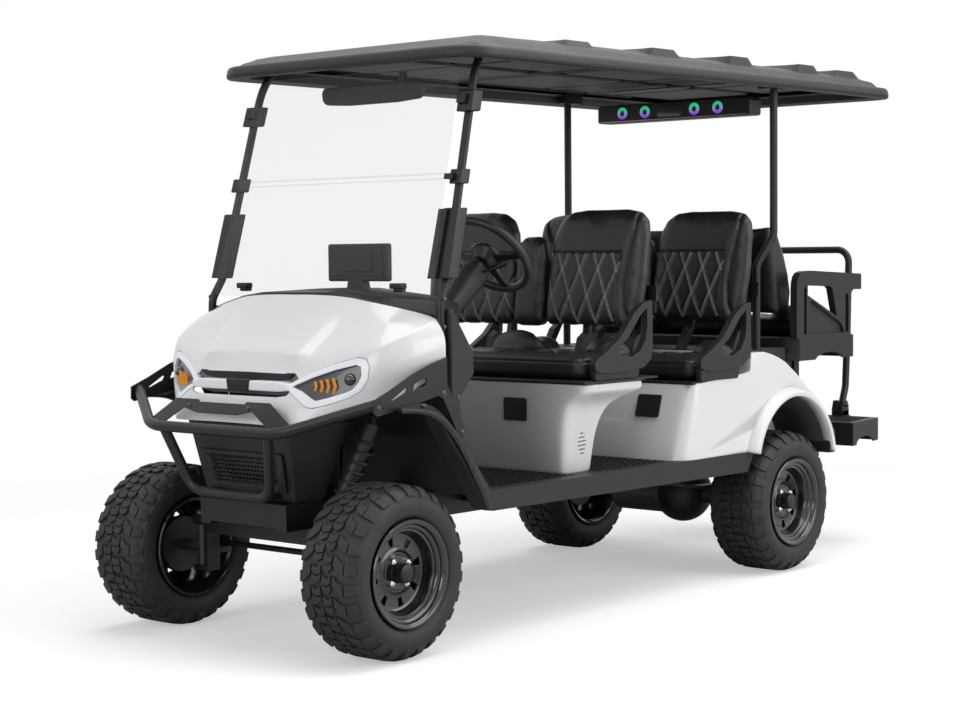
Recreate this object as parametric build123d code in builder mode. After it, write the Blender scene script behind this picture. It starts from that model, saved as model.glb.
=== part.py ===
from build123d import *
import os
from math import atan2, cos, radians, sin, sqrt

os.makedirs("parts", exist_ok=True)

# Six-seat lifted golf cart. Millimetres. X is the vehicle's left, -Y is forward, Z is up.
# The ground is Z = 0 and the origin is under the middle of the vehicle.

# ---------------------------------------------------------------- driving dimensions
wheelbase = 2356.0
track = 1052.0
nose_reach = 292.0          # front axle to the front of the brush guard
tail_reach = 1056.0         # rear axle to the back of the grab hoop
tyre_diameter = 584.0
tyre_width = 262.0
body_half_width = 610.0
wall = 12.0                 # moulded body panels
fit_gap = 0.3               # soft or curved pieces beside their neighbours
shaft_gap = 0.05            # radial, a turning shaft in its bore

floor_top = 517.0
floor_thickness = 20.0
seat_pitch = 715.0          # front row to middle row
front_deck_top = 863.0
middle_deck_top = 822.0
roof_crown_height = 2118.0
roof_edge_height = roof_crown_height - 121.0

front_axle_y = (nose_reach - wheelbase - tail_reach) / 2
rear_axle_y = front_axle_y + wheelbase
axle_height = tyre_diameter / 2
wheel_x = track / 2
both_sides = (1, -1)        # left, then right


def aft(distance):
    """Y of a place that lies this far behind the front axle."""
    return front_axle_y + distance


def behind_rear(distance):
    """Y of a place that lies this far behind the rear axle."""
    return rear_axle_y + distance


# ---------------------------------------------------------------- shared shape helpers
def side_slab(points, x_low, x_high, mode=Mode.ADD):
    """A side-view outline of (y, z) points, as thick as x_low to x_high."""
    with BuildSketch(Plane.YZ.offset(x_low)) as outline:
        with BuildLine():
            Polyline(*points, close=True)
        make_face()
    extrude(outline.sketch, amount=x_high - x_low, mode=mode)


def front_slab(points, y_low, y_high, mode=Mode.ADD):
    """A front-view outline of (x, z) points, as deep as y_low to y_high."""
    with BuildSketch(Plane.XZ.offset(-y_high)) as outline:
        with BuildLine():
            Polyline(*points, close=True)
        make_face()
    extrude(outline.sketch, amount=y_high - y_low, mode=mode)


def plan_slab(points, z_low, z_high, mode=Mode.ADD):
    """A top-view outline of (x, y) points, from z_low to z_high."""
    with BuildSketch(Plane.XY.offset(z_low)) as outline:
        with BuildLine():
            Polyline(*points, close=True)
        make_face()
    extrude(outline.sketch, amount=z_high - z_low, mode=mode)


def block(x_span, y_span, z_span, mode=Mode.ADD):
    """A rectangular block between three pairs of low and high values."""
    middle = [(low + high) / 2 for low, high in (x_span, y_span, z_span)]
    size = [high - low for low, high in (x_span, y_span, z_span)]
    with Locations(tuple(middle)):
        Box(*size, mode=mode)


def side_span(side, near, far):
    """The X span between two distances from the middle, on one side."""
    return (min(side * near, side * far), max(side * near, side * far))


def tube(points, diameter, bend, mode=Mode.ADD):
    """A round bar along a path of straight runs joined by arcs."""
    with BuildLine() as path:
        FilletPolyline(*points, radius=bend)
    start = Plane(origin=path.line @ 0, z_dir=path.line % 0)
    with BuildSketch(start) as section:
        Circle(diameter / 2)
    sweep(section.sketch, path=path.line, mode=mode)


def rod(start, end, diameter, mode=Mode.ADD):
    """A straight round bar between two points."""
    axis = Vector(*end) - Vector(*start)
    with BuildSketch(Plane(origin=start, z_dir=axis)) as section:
        Circle(diameter / 2)
    extrude(section.sketch, amount=axis.length, mode=mode)


def x_round(side, near, far, radius, y, z, mode=Mode.ADD):
    """A round boss along X, on one side, between two distances from the middle."""
    rod((side * near, y, z), (side * far, y, z), 2 * radius, mode)


def mirrored(points):
    """A closed front-view outline from its left half, listed from top to bottom."""
    return list(points) + [(-x, z) for x, z in reversed(points) if x > 0]


# ---------------------------------------------------------------- wheels
rim_seat_radius = 151.0
rim_flange_radius = 178.0
rim_flange_thickness = 13.0
rim_wall = 9.0
rim_half_width = tyre_width / 2 - 1
disc_outer_face = 66.0       # outboard of the tyre's middle
disc_thickness = 9.0
slot_count = 8
slot_inner_radius = 84.0
slot_outer_radius = 122.0
hub_boss_radius = 62.0
hub_inner_face = 20.0        # outboard of the tyre's middle
hub_bore_radius = 32.0
hub_bore_depth = 40.0
hub_cap_radius = 34.0
hub_cap_length = 46.0
nut_circle_radius = 50.0
nut_radius = 11.0
nut_length = 26.0
nut_count = 4

half_tyre = tyre_width / 2
tyre_radius = tyre_diameter / 2
bead_x = rim_half_width - rim_flange_thickness - fit_gap
# (distance from the tyre's middle, radius), from the bead to the tread
tyre_half_section = [
    (bead_x, rim_seat_radius + fit_gap),
    (bead_x, rim_flange_radius + fit_gap),
    (half_tyre - 3, rim_flange_radius + 16),
    (half_tyre, tyre_radius - 56),
    (half_tyre - 6, tyre_radius - 22),
    (half_tyre - 26, tyre_radius - 4),
    (half_tyre - 66, tyre_radius),
]

wheels = {}
tyres = {}
# (name, side, axle y)
wheel_places = [
    ("front_left", 1, front_axle_y),
    ("front_right", -1, front_axle_y),
    ("rear_left", 1, rear_axle_y),
    ("rear_right", -1, rear_axle_y),
]
for wheel_name, side, axle_y in wheel_places:
    hub_line = Plane(origin=(side * wheel_x, axle_y, axle_height), x_dir=(side, 0, 0), z_dir=(0, -side, 0))
    with BuildPart() as tyre:
        with BuildSketch(hub_line) as half:
            with BuildLine():
                outer_half = list(tyre_half_section)
                inner_half = [(-along, radius) for along, radius in reversed(tyre_half_section)]
                Polyline(*outer_half, *inner_half, close=True)
            make_face()
        revolve(axis=Axis((side * wheel_x, axle_y, axle_height), (1, 0, 0)))
    tyre.part.label = f"tyre_{wheel_name}"
    tyres[wheel_name] = tyre.part

    with BuildPart() as rim:
        with BuildSketch(hub_line) as half:
            with BuildLine():
                barrel_inner = rim_seat_radius - rim_wall
                flange_inner = rim_half_width - rim_flange_thickness
                Polyline(
                    (-rim_half_width, barrel_inner),
                    (rim_half_width, barrel_inner),
                    (rim_half_width, rim_flange_radius),
                    (flange_inner, rim_flange_radius),
                    (flange_inner, rim_seat_radius),
                    (-flange_inner, rim_seat_radius),
                    (-flange_inner, rim_flange_radius),
                    (-rim_half_width, rim_flange_radius),
                    close=True,
                )
            make_face()
            with BuildLine():
                disc_inner_face = disc_outer_face - disc_thickness
                Polyline(
                    (hub_inner_face, 0),
                    (hub_inner_face, hub_boss_radius),
                    (disc_inner_face, hub_boss_radius + 8),
                    (disc_inner_face, barrel_inner + 1),
                    (disc_outer_face, barrel_inner + 1),
                    (disc_outer_face, hub_cap_radius),
                    (disc_outer_face + hub_cap_length, hub_cap_radius),
                    (disc_outer_face + hub_cap_length, 0),
                    close=True,
                )
            make_face()
        revolve(axis=Axis((side * wheel_x, axle_y, axle_height), (1, 0, 0)))
        outboard = Plane(origin=(side * wheel_x, axle_y, axle_height), x_dir=(0, 1, 0), z_dir=(side, 0, 0))
        with BuildSketch(outboard.offset(disc_outer_face - disc_thickness - 2)) as slots:
            slot_width = slot_outer_radius - slot_inner_radius
            with PolarLocations((slot_inner_radius + slot_outer_radius) / 2, slot_count):
                RectangleRounded(slot_width, slot_width * 1.25, slot_width / 5)
        extrude(amount=disc_thickness + 4, mode=Mode.SUBTRACT)
        with BuildSketch(outboard.offset(hub_inner_face - 1)) as bore:
            Circle(hub_bore_radius)
        extrude(amount=hub_bore_depth + 1, mode=Mode.SUBTRACT)
        with BuildSketch(outboard.offset(disc_outer_face - 1)) as nuts:
            with PolarLocations(nut_circle_radius, nut_count, start_angle=45):
                Circle(nut_radius)
        extrude(amount=nut_length)
    rim.part.label = f"rim_{wheel_name}"
    wheels[wheel_name] = rim.part

# ---------------------------------------------------------------- axles and steering
kingpin_x = 365.0
kingpin_radius = 20.0
kingpin_low = axle_height - 64
kingpin_high = axle_height + 84
yoke_plate = 18.0
yoke_half_depth = 30.0
beam_half_depth = 30.0
beam_height = 58.0
frame_rail_height = 90.0
frame_rail_top = floor_top - floor_thickness
frame_rail_bottom = frame_rail_top - frame_rail_height
beam_top = frame_rail_bottom
beam_bottom = beam_top - beam_height
yoke_web_x = kingpin_x - kingpin_radius - 22

spindle_radius = 20.0
hub_shaft_radius = hub_bore_radius - shaft_gap
hub_shaft_end = wheel_x + hub_inner_face + hub_bore_depth - 2
drum_inner_x = wheel_x - 56
drum_outer_x = wheel_x - 22
drum_radius = 100.0
steering_arm_reach = 110.0
steering_arm_top = axle_height - 10
steering_arm_thickness = 20.0
steering_arm_half_width = 15.0
tie_rod_radius = 11.0

with BuildPart() as front_axle:
    beam_end = kingpin_x + kingpin_radius
    block((-beam_end, beam_end), (front_axle_y - beam_half_depth, front_axle_y + beam_half_depth),
          (beam_bottom, beam_top))
    for side in both_sides:
        depth = (front_axle_y - yoke_half_depth, front_axle_y + yoke_half_depth)
        block(side_span(side, yoke_web_x - 14, yoke_web_x), depth,
              (kingpin_low - fit_gap - yoke_plate, beam_top))
        block(side_span(side, yoke_web_x - 14, beam_end), depth,
              (kingpin_low - fit_gap - yoke_plate, kingpin_low - fit_gap))
        block(side_span(side, yoke_web_x, beam_end), depth,
              (beam_bottom - 1, kingpin_high + fit_gap), mode=Mode.SUBTRACT)
front_axle.part.label = "front_axle"

knuckles = {}
for side, side_name in ((1, "left"), (-1, "right")):
    with BuildPart() as knuckle:
        rod((side * kingpin_x, front_axle_y, kingpin_low), (side * kingpin_x, front_axle_y, kingpin_high),
            2 * kingpin_radius)
        x_round(side, kingpin_x, drum_inner_x + 1, spindle_radius, front_axle_y, axle_height)
        x_round(side, drum_inner_x, drum_outer_x, drum_radius, front_axle_y, axle_height)
        x_round(side, drum_outer_x - 1, hub_shaft_end, hub_shaft_radius, front_axle_y, axle_height)
        block(side_span(side, kingpin_x - steering_arm_half_width, kingpin_x + steering_arm_half_width),
              (front_axle_y, front_axle_y + steering_arm_reach + steering_arm_half_width),
              (steering_arm_top - steering_arm_thickness, steering_arm_top))
    knuckle.part.label = f"knuckle_{side_name}"
    knuckles[side_name] = knuckle.part

tie_rod_half_length = kingpin_x - 4
tie_rod_z = steering_arm_top + fit_gap + tie_rod_radius
with BuildPart() as tie_rod:
    tie_rod_y = front_axle_y + steering_arm_reach
    rod((-tie_rod_half_length, tie_rod_y, tie_rod_z), (tie_rod_half_length, tie_rod_y, tie_rod_z),
        2 * tie_rod_radius)
tie_rod.part.label = "tie_rod"

axle_tube_radius = 40.0
differential_radius = 126.0
differential_x = 90.0
motor_radius = 88.0
motor_length = 250.0
with BuildPart() as rear_axle:
    rod((-drum_inner_x - 1, rear_axle_y, axle_height), (drum_inner_x + 1, rear_axle_y, axle_height),
        2 * axle_tube_radius)
    with Locations((differential_x, rear_axle_y, axle_height)):
        Sphere(differential_radius)
    motor_end = differential_x - motor_length
    rod((differential_x, behind_rear(-100), axle_height + 10), (motor_end, behind_rear(-100), axle_height + 10),
        2 * motor_radius)
    for side in both_sides:
        x_round(side, drum_inner_x, drum_outer_x, drum_radius, rear_axle_y, axle_height)
        x_round(side, drum_outer_x - 1, hub_shaft_end, hub_shaft_radius, rear_axle_y, axle_height)
rear_axle.part.label = "rear_axle"

# ---------------------------------------------------------------- frame
rail_to_tyre = 65.0            # from a rail's middle to the inner wall of a rear tyre
rail_x = wheel_x - tyre_width / 2 - rail_to_tyre
rail_width = 50.0
front_rail_x = 190.0
front_rail_start = aft(-140)
rail_step_y = aft(440)
rail_end_y = behind_rear(684)
cross_depth = 50.0
rocker_inner_x = body_half_width - 52
shock_tower_x = 225.0
shock_tower_top = 790.0
shock_low = (250.0, aft(40), beam_top + 14)
shock_high = (350.0, aft(140), shock_tower_top - 30)
platform_bottom = 864.0
platform_top = 963.0
leaf_half_length = 496.0
leaf_width = 50.0
leaf_thickness = 12.0
leaf_axle_z = axle_height + axle_tube_radius + 8
leaf_eye_z = frame_rail_bottom - 22

rail_z = (frame_rail_bottom, frame_rail_top)
with BuildPart() as main_frame:
    for side in both_sides:
        block(side_span(side, rail_x - rail_width / 2, rail_x + rail_width / 2),
              (rail_step_y, rail_end_y), rail_z)
        block(side_span(side, front_rail_x - rail_width / 2, front_rail_x + rail_width / 2),
              (front_rail_start, rail_step_y + cross_depth), rail_z)
    rail_outer = rail_x + rail_width / 2
    for cross_y in (rail_step_y, aft(1250), behind_rear(-480), rail_end_y - cross_depth):
        block((-rail_outer, rail_outer), (cross_y, cross_y + cross_depth),
              (frame_rail_bottom + 10, frame_rail_top))
    block((-front_rail_x, front_rail_x), (front_rail_start, front_rail_start + cross_depth),
          (frame_rail_bottom + 10, frame_rail_top))
main_frame.part.label = "main_frame"

post_half = 20.0
hanger_half_depth = 15.0
with BuildPart() as frame_posts:
    for side in both_sides:
        post_span = side_span(side, rail_x - post_half, rail_x + post_half)
        for tower_y in (behind_rear(204), behind_rear(504)):
            block(post_span, (tower_y - post_half, tower_y + post_half), (frame_rail_top, platform_top - wall))
        for hanger_y in (rear_axle_y - leaf_half_length, rear_axle_y + leaf_half_length):
            block(post_span, (hanger_y - hanger_half_depth, hanger_y + hanger_half_depth),
                  (leaf_eye_z + leaf_thickness, frame_rail_bottom))
frame_posts.part.label = "frame_posts"

outrigger_half_depth = 25.0
with BuildPart() as outriggers:
    for side in both_sides:
        for outrigger_y in (aft(620), aft(1300), behind_rear(-340)):
            block(side_span(side, rail_outer, rocker_inner_x),
                  (outrigger_y - outrigger_half_depth, outrigger_y + outrigger_half_depth),
                  (frame_rail_top - 46, frame_rail_top))
outriggers.part.label = "outriggers"

tower_plate = 12.0
tower_depth = (aft(110), aft(170))
with BuildPart() as shock_towers:
    for side in both_sides:
        block(side_span(side, front_rail_x + rail_width / 2, shock_tower_x + tower_plate), tower_depth,
              (frame_rail_top - 40, frame_rail_top))
        block(side_span(side, shock_tower_x, shock_tower_x + tower_plate), tower_depth,
              (frame_rail_top - 40, shock_tower_top))
        block(side_span(side, shock_tower_x, shock_high[0] + 15), (aft(120), aft(160)),
              (shock_tower_top - 15, shock_tower_top))
shock_towers.part.label = "shock_towers"

shock_radius = 27.0
with BuildPart() as suspension:
    for side in both_sides:
        leaf_x = side_span(side, rail_x - leaf_width / 2, rail_x + leaf_width / 2)
        # (distance from the axle, height of the leaf's underside)
        leaf_line = [
            (-leaf_half_length - 20, leaf_eye_z),
            (-leaf_half_length + 20, leaf_eye_z),
            (-leaf_half_length / 2, leaf_axle_z + 8),
            (0, leaf_axle_z),
            (leaf_half_length / 2, leaf_axle_z + 8),
            (leaf_half_length - 20, leaf_eye_z),
            (leaf_half_length + 20, leaf_eye_z),
        ]
        under = [(rear_axle_y + along, height) for along, height in leaf_line]
        over = [(y, height + leaf_thickness) for y, height in reversed(under)]
        side_slab(under + over, *leaf_x)
        block(leaf_x, (rear_axle_y - 30, rear_axle_y + 30),
              (axle_height + axle_tube_radius + fit_gap, leaf_axle_z + 2))
        rod((side * shock_low[0], *shock_low[1:]), (side * shock_high[0], *shock_high[1:]),
            2 * shock_radius)
        block(side_span(side, shock_high[0] - 10, shock_high[0] + 10), (aft(130), aft(150)),
              (shock_high[2] - 5, shock_tower_top - 15))
        block(side_span(side, shock_low[0] - 14, shock_low[0] + 14), (aft(5), aft(40)),
              (beam_top, beam_top + 30))
suspension.part.label = "suspension"

# ---------------------------------------------------------------- floor and rockers
rocker_top = 520.0
rocker_bottom = 440.0
rocker_front = aft(445)
rocker_rear = behind_rear(-246)
dash_bottom = 930.0
toe_foot_y = aft(470)
toe_head_y = aft(318)

with BuildPart() as floor_pan:
    # side view, along the top face and back along the underside
    side_slab(
        [
            (behind_rear(-260), floor_top),
            (toe_foot_y, floor_top),
            (aft(345), floor_top + 190),
            (toe_head_y, dash_bottom),
            (toe_head_y - floor_thickness, dash_bottom),
            (aft(345) - floor_thickness, floor_top + 186),
            (toe_foot_y - floor_thickness, frame_rail_top),
            (behind_rear(-260), frame_rail_top),
        ],
        -rocker_inner_x,
        rocker_inner_x,
    )
floor_pan.part.label = "floor_pan"

with BuildPart() as rockers:
    for side in both_sides:
        side_slab(
            [
                (rocker_front, rocker_top),
                (rocker_rear, rocker_top),
                (rocker_rear - 50, rocker_bottom),
                (rocker_front + 20, rocker_bottom + 8),
            ],
            *side_span(side, rocker_inner_x, body_half_width + 2),
        )
rockers.part.label = "rockers"

# ---------------------------------------------------------------- nose
cowl_rear_centre = aft(116)
cowl_rear_side = aft(230)
cowl_side_half = 560.0
# y from the axle, half width and height at the top edge, height on the middle line,
# half width and height at the bottom edge
nose_sections = [
    (-165, 215, 905, 915, 215, 768),
    (-100, 330, 955, 965, 350, 768),
    (-60, 420, 985, 1018, 420, 775),
    (-20, 468, 1003, 1062, 490, 810),
    (90, 530, 1065, 1172, 575, 890),
    (230, 560, 1121, 1203, 600, 954),
]


def nose_outline(section, inset, drop):
    """Front-view points of one nose section, inset by a wall, with its bottom dropped."""
    _, top_half, top_side, top_middle, bottom_half, bottom = section
    return mirrored([
        (0, top_middle - inset),
        (top_half * 0.55, top_side + (top_middle - top_side) * 0.82 - inset),
        (top_half - inset, top_side - inset),
        ((top_half + bottom_half) / 2 + 8 - inset, (top_side + bottom) / 2),
        (bottom_half - inset, bottom - drop),
    ])


def nose_loft(inset, drop, first, last, mode):
    """The nose between two of its sections, ruled from one to the next."""
    faces = []
    for section in nose_sections[first:last]:
        with BuildSketch(Plane.XZ.offset(-aft(section[0]))) as outline:
            with BuildLine():
                Polyline(*nose_outline(section, inset, drop), close=True)
            make_face()
        faces.append(outline.sketch.face())
    loft(faces, ruled=True, mode=mode)


windscreen_arc = (cowl_side_half**2 + (cowl_rear_side - cowl_rear_centre) ** 2) / (
    2 * (cowl_rear_side - cowl_rear_centre))

# front view of the left lamp: (x, z)
lamp_outline = [(215, 896), (300, 948), (458, 1000), (492, 935), (440, 860), (338, 826)]
lamp_back = aft(10)
bar_half_width = 216.0
bar_low = 880.0
bar_high = 914.0
bar_back = aft(-120)

with BuildPart() as front_cowl:
    nose_loft(0, 0, 0, len(nose_sections), Mode.ADD)
    nose_loft(wall, 60, 1, len(nose_sections), Mode.SUBTRACT)
    with Locations((0, cowl_rear_centre + windscreen_arc, 1000)):
        Cylinder(windscreen_arc, 700, mode=Mode.SUBTRACT)
    for side in both_sides:
        front_slab([(side * x, z) for x, z in lamp_outline], aft(-300), lamp_back, Mode.SUBTRACT)
    block((-bar_half_width, bar_half_width), (aft(-300), bar_back), (bar_low - 10, bar_high + 20),
          mode=Mode.SUBTRACT)
front_cowl.part.label = "front_cowl"

with BuildPart() as headlamps:
    nose_loft(0, 0, 0, len(nose_sections), Mode.ADD)
    with BuildPart(mode=Mode.PRIVATE) as lamp_space:
        for side in both_sides:
            front_slab([(side * x, z) for x, z in lamp_outline], aft(-300), lamp_back)
        block((-bar_half_width, bar_half_width), (aft(-300), bar_back), (bar_low, bar_high))
    add(lamp_space.part, mode=Mode.INTERSECT)
headlamps.part.label = "headlamps"

fascia_top = 768.0
fascia_bottom = frame_rail_top
fascia_top_half = 290.0
fascia_bottom_half = 215.0
fascia_top_front = aft(-158)
fascia_bottom_front = aft(-100)
grille_recess = 10.0
grille_inset = 42.0
with BuildPart() as lower_fascia:
    with BuildSketch(Plane.XY.offset(fascia_bottom)) as fascia_low:
        with Locations((0, (fascia_bottom_front + aft(30)) / 2)):
            Rectangle(2 * fascia_bottom_half, aft(30) - fascia_bottom_front)
    with BuildSketch(Plane.XY.offset(fascia_top)) as fascia_high:
        with Locations((0, (fascia_top_front + aft(100)) / 2)):
            Rectangle(2 * fascia_top_half, aft(100) - fascia_top_front)
    loft([fascia_low.sketch.face(), fascia_high.sketch.face()], ruled=True)
    fascia_face = lower_fascia.faces().sort_by(Axis.Y)[0]
    grille_plane = Plane(origin=fascia_face.center(), x_dir=(1, 0, 0), z_dir=fascia_face.normal_at())
    face_height = sqrt((fascia_top - fascia_bottom) ** 2 + (fascia_top_front - fascia_bottom_front) ** 2)
    grille_outline = [
        (-fascia_bottom_half + grille_inset / 2, -face_height / 2 + grille_inset),
        (fascia_bottom_half - grille_inset / 2, -face_height / 2 + grille_inset),
        (fascia_top_half - grille_inset * 1.9, face_height / 2 - grille_inset * 1.8),
        (-fascia_top_half + grille_inset * 1.9, face_height / 2 - grille_inset * 1.8),
    ]
    with BuildSketch(grille_plane) as recess:
        with BuildLine():
            Polyline(*grille_outline, close=True)
        make_face()
    extrude(amount=-grille_recess, mode=Mode.SUBTRACT)
lower_fascia.part.label = "lower_fascia"

with BuildPart() as grille:
    with BuildSketch(grille_plane.offset(-grille_recess)) as panel:
        with BuildLine():
            Polyline(*grille_outline, close=True)
        make_face()
    extrude(amount=grille_recess / 2)
grille.part.label = "grille"

# ---------------------------------------------------------------- brush guard and flares
guard_tube = 38.0
guard_plate_x = body_half_width - 6
guard_plate_thickness = 6.0
guard_front = front_axle_y - nose_reach + guard_tube / 2
guard_bar_z = 752.0
guard_low_y = aft(-190)
guard_low_z = 523.0
guard_stay = 20.0


def fascia_front(height):
    """Y of the lower fascia's leaning front face at a height."""
    share = (height - fascia_bottom) / (fascia_top - fascia_bottom)
    return fascia_bottom_front + share * (fascia_top_front - fascia_bottom_front)


with BuildPart() as brush_guard:
    tube(
        [
            (guard_plate_x, aft(-80), 854),
            (318, guard_front, guard_bar_z),
            (-318, guard_front, guard_bar_z),
            (-guard_plate_x, aft(-80), 854),
        ],
        guard_tube, 60)
    tube(
        [
            (262, guard_front + 10, guard_bar_z),
            (192, guard_low_y, guard_low_z),
            (-192, guard_low_y, guard_low_z),
            (-262, guard_front + 10, guard_bar_z),
        ],
        guard_tube - 2, 60)
    for side in both_sides:
        side_slab(
            [
                (aft(-112), 832),
                (aft(-118), 874),
                (aft(110), 968),
                (aft(246), 990),
                (aft(330), 728),
                (aft(302), 712),
                (aft(214), 872),
                (aft(60), 862),
            ],
            *side_span(side, guard_plate_x, guard_plate_x + guard_plate_thickness),
        )
        side_slab(
            [(aft(-30), 884), (aft(110), 938), (aft(120), 912), (aft(0), 872)],
            *side_span(side, guard_plate_x - 1, guard_plate_x + guard_plate_thickness + 1),
            mode=Mode.SUBTRACT,
        )
    stay_end = fascia_front(guard_low_z + guard_stay / 2) - fit_gap
    for side in both_sides:
        rod((side * 150, guard_low_y, guard_low_z), (side * 150, stay_end, guard_low_z), guard_stay)
brush_guard.part.label = "brush_guard"

flare_inner_x = body_half_width + 4
flare_outer_x = body_half_width + 44
flare_foot_z = 484.0
flare_foot_y = rocker_front + 20 * (rocker_top - flare_foot_z) / (rocker_top - rocker_bottom - 8) - fit_gap
with BuildPart() as front_flares:
    for side in both_sides:
        side_slab(
            [
                (aft(-6), 818),
                (aft(40), 846),
                (aft(127), 849),
                (aft(240), 770),
                (flare_foot_y, flare_foot_z),
                (aft(436), 462),
                (aft(404), 466),
                (aft(200), 742),
                (aft(110), 806),
                (aft(20), 800),
            ],
            *side_span(side, flare_inner_x, flare_outer_x),
        )
        side_slab(
            [(aft(150), 832), (aft(232), 770), (flare_foot_y, flare_foot_z), (aft(436), 462),
             (aft(404), 466), (aft(200), 742)],
            *side_span(side, rocker_inner_x, flare_inner_x),
        )
front_flares.part.label = "front_flares"

# ---------------------------------------------------------------- dash, cowl sides, steering column
strut_lean = 0.262          # rearward run for each unit of height
glass_thickness = 5.0
glass_low_z = 1190.0
glass_high_z = roof_edge_height - 11.0
lower_pane, upper_pane = 408.0, 388.0
glass_split_z = glass_low_z + (glass_high_z - glass_low_z) * lower_pane / (lower_pane + upper_pane)
split_gap = 14.0
lean_angle = atan2(strut_lean, 1)
glass_foot = (0, aft(231), glass_low_z)
glass_plane = Plane(origin=glass_foot, x_dir=(1, 0, 0), z_dir=(0, -cos(lean_angle), sin(lean_angle)))
glass_low_half = 545.0
glass_high_half = 505.0
strut_y = aft(246)
strut_diameter = 30.0
strut_foot_lean = 2.0       # rearward run of the strut below its bend
side_panel_front = strut_y + strut_foot_lean + strut_diameter / 2 + fit_gap
dash_top = 1215.0
dash_rear = aft(522)
dash_half = cowl_side_half - 14
with BuildPart() as side_panels:
    for side in both_sides:
        side_slab(
            [
                (side_panel_front, 1150),
                (aft(276), 1150),
                (aft(296), 1110),
                (aft(379), 998),
                (aft(306), 852),
                (aft(330), 726),
                (side_panel_front, 752),
            ],
            *side_span(side, rocker_inner_x + 2, guard_plate_x),
        )
side_panels.part.label = "side_panels"

with BuildPart() as dashboard:
    side_slab(
        [
            (aft(100), 1140),
            (aft(100), 1204),
            (aft(330), dash_top),
            (aft(470), dash_top),
            (dash_rear, 1165),
            (dash_rear, 1000),
            (aft(440), 940),
            (toe_head_y + 40, dash_bottom),
            (toe_head_y - floor_thickness, dash_bottom),
            (aft(280), 1100),
        ],
        -dash_half,
        dash_half,
    )
    with BuildPart(mode=Mode.PRIVATE) as dash_space:
        front_slab(
            mirrored([(0, 1224), (300, 1190), (dash_half, 1124), (dash_half, 900)]),
            aft(80), aft(560))
    add(dash_space.part, mode=Mode.INTERSECT)
    with BuildPart(mode=Mode.PRIVATE) as behind_cowl:
        with Locations((0, cowl_rear_centre + windscreen_arc, 1000)):
            Cylinder(windscreen_arc - fit_gap, 700)
    add(behind_cowl.part, mode=Mode.INTERSECT)
    with BuildSketch(glass_plane.offset(fit_gap)) as gutter:
        with Locations((0, 100 - fit_gap)):
            Rectangle(2 * glass_low_half + 4, 200)
    extrude(gutter.sketch, amount=-glass_thickness - 2 * fit_gap, mode=Mode.SUBTRACT)
dashboard.part.label = "dashboard"

steering_x = 300.0
steering_centre = (steering_x, aft(812), 1328.0)
column_pitch = 41.9         # degrees above level, towards the driver
column_axis = (0, cos(radians(column_pitch)), sin(radians(column_pitch)))


def along_column(distance):
    """A point on the steering axis, this far from the wheel's plane towards the driver."""
    return tuple(c + distance * a for c, a in zip(steering_centre, column_axis))


column_radius = 30.0
column_end = -62.0
wheel_shaft_radius = 12.0
hub_low = -46.0
with BuildPart() as steering_column:
    dash_distance = (dash_rear - steering_centre[1]) / column_axis[1]
    rod(along_column(dash_distance - 60), along_column(column_end), 2 * column_radius)
    rod(along_column(column_end - 1), along_column(hub_low + 22), 2 * wheel_shaft_radius)
    block((steering_x - 60, steering_x + 60), (dash_rear - 100, dash_rear), (900, 1300), mode=Mode.SUBTRACT)
steering_column.part.label = "steering_column"

wheel_rim_radius = 166.0
wheel_grip_radius = 13.0
spoke_angles = (0, 90, 180)
with BuildPart() as steering_wheel:
    wheel_plane = Plane(origin=steering_centre, x_dir=(1, 0, 0), z_dir=column_axis)
    with BuildSketch(Plane(origin=steering_centre, x_dir=(1, 0, 0),
                           z_dir=Vector(*column_axis).cross(Vector(1, 0, 0)))) as grip:
        with Locations((wheel_rim_radius, 0)):
            Circle(wheel_grip_radius)
    revolve(axis=Axis(steering_centre, column_axis))
    with BuildSketch(wheel_plane.offset(hub_low)) as hub:
        Circle(38)
    extrude(amount=-hub_low + 6)
    with BuildSketch(wheel_plane.offset(-8)) as spokes:
        for angle in spoke_angles:
            with Locations(Rot(0, 0, angle) * Location((wheel_rim_radius / 2, 0))):
                Rectangle(wheel_rim_radius, 26)
    extrude(amount=10)
    with BuildSketch(wheel_plane.offset(hub_low - 1)) as bore:
        Circle(wheel_shaft_radius + shaft_gap)
    extrude(amount=25, mode=Mode.SUBTRACT)
steering_wheel.part.label = "steering_wheel"

pedal_half_width = 38.0
with BuildPart() as pedals:
    for pedal_x in (215, 385):
        side_slab(
            [
                (aft(600), floor_top),
                (aft(624), floor_top),
                (aft(624), floor_top + 26),
                (aft(540), floor_top + 150),
                (aft(498), floor_top + 182),
                (aft(488), floor_top + 172),
                (aft(528), floor_top + 136),
                (aft(600), floor_top + 24),
            ],
            pedal_x - pedal_half_width,
            pedal_x + pedal_half_width,
        )
pedals.part.label = "pedals"

display_width = 270.0
display_x = 15.0
display_low = 1232.0
display_high = 1370.0
with BuildPart() as display:
    block((display_x - display_width / 2, display_x + display_width / 2), (aft(424), aft(448)),
          (display_low, display_high))
    block((display_x - 40, display_x + 40), (aft(415), aft(460)), (dash_top, display_low + 1))
display.part.label = "display"

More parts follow.
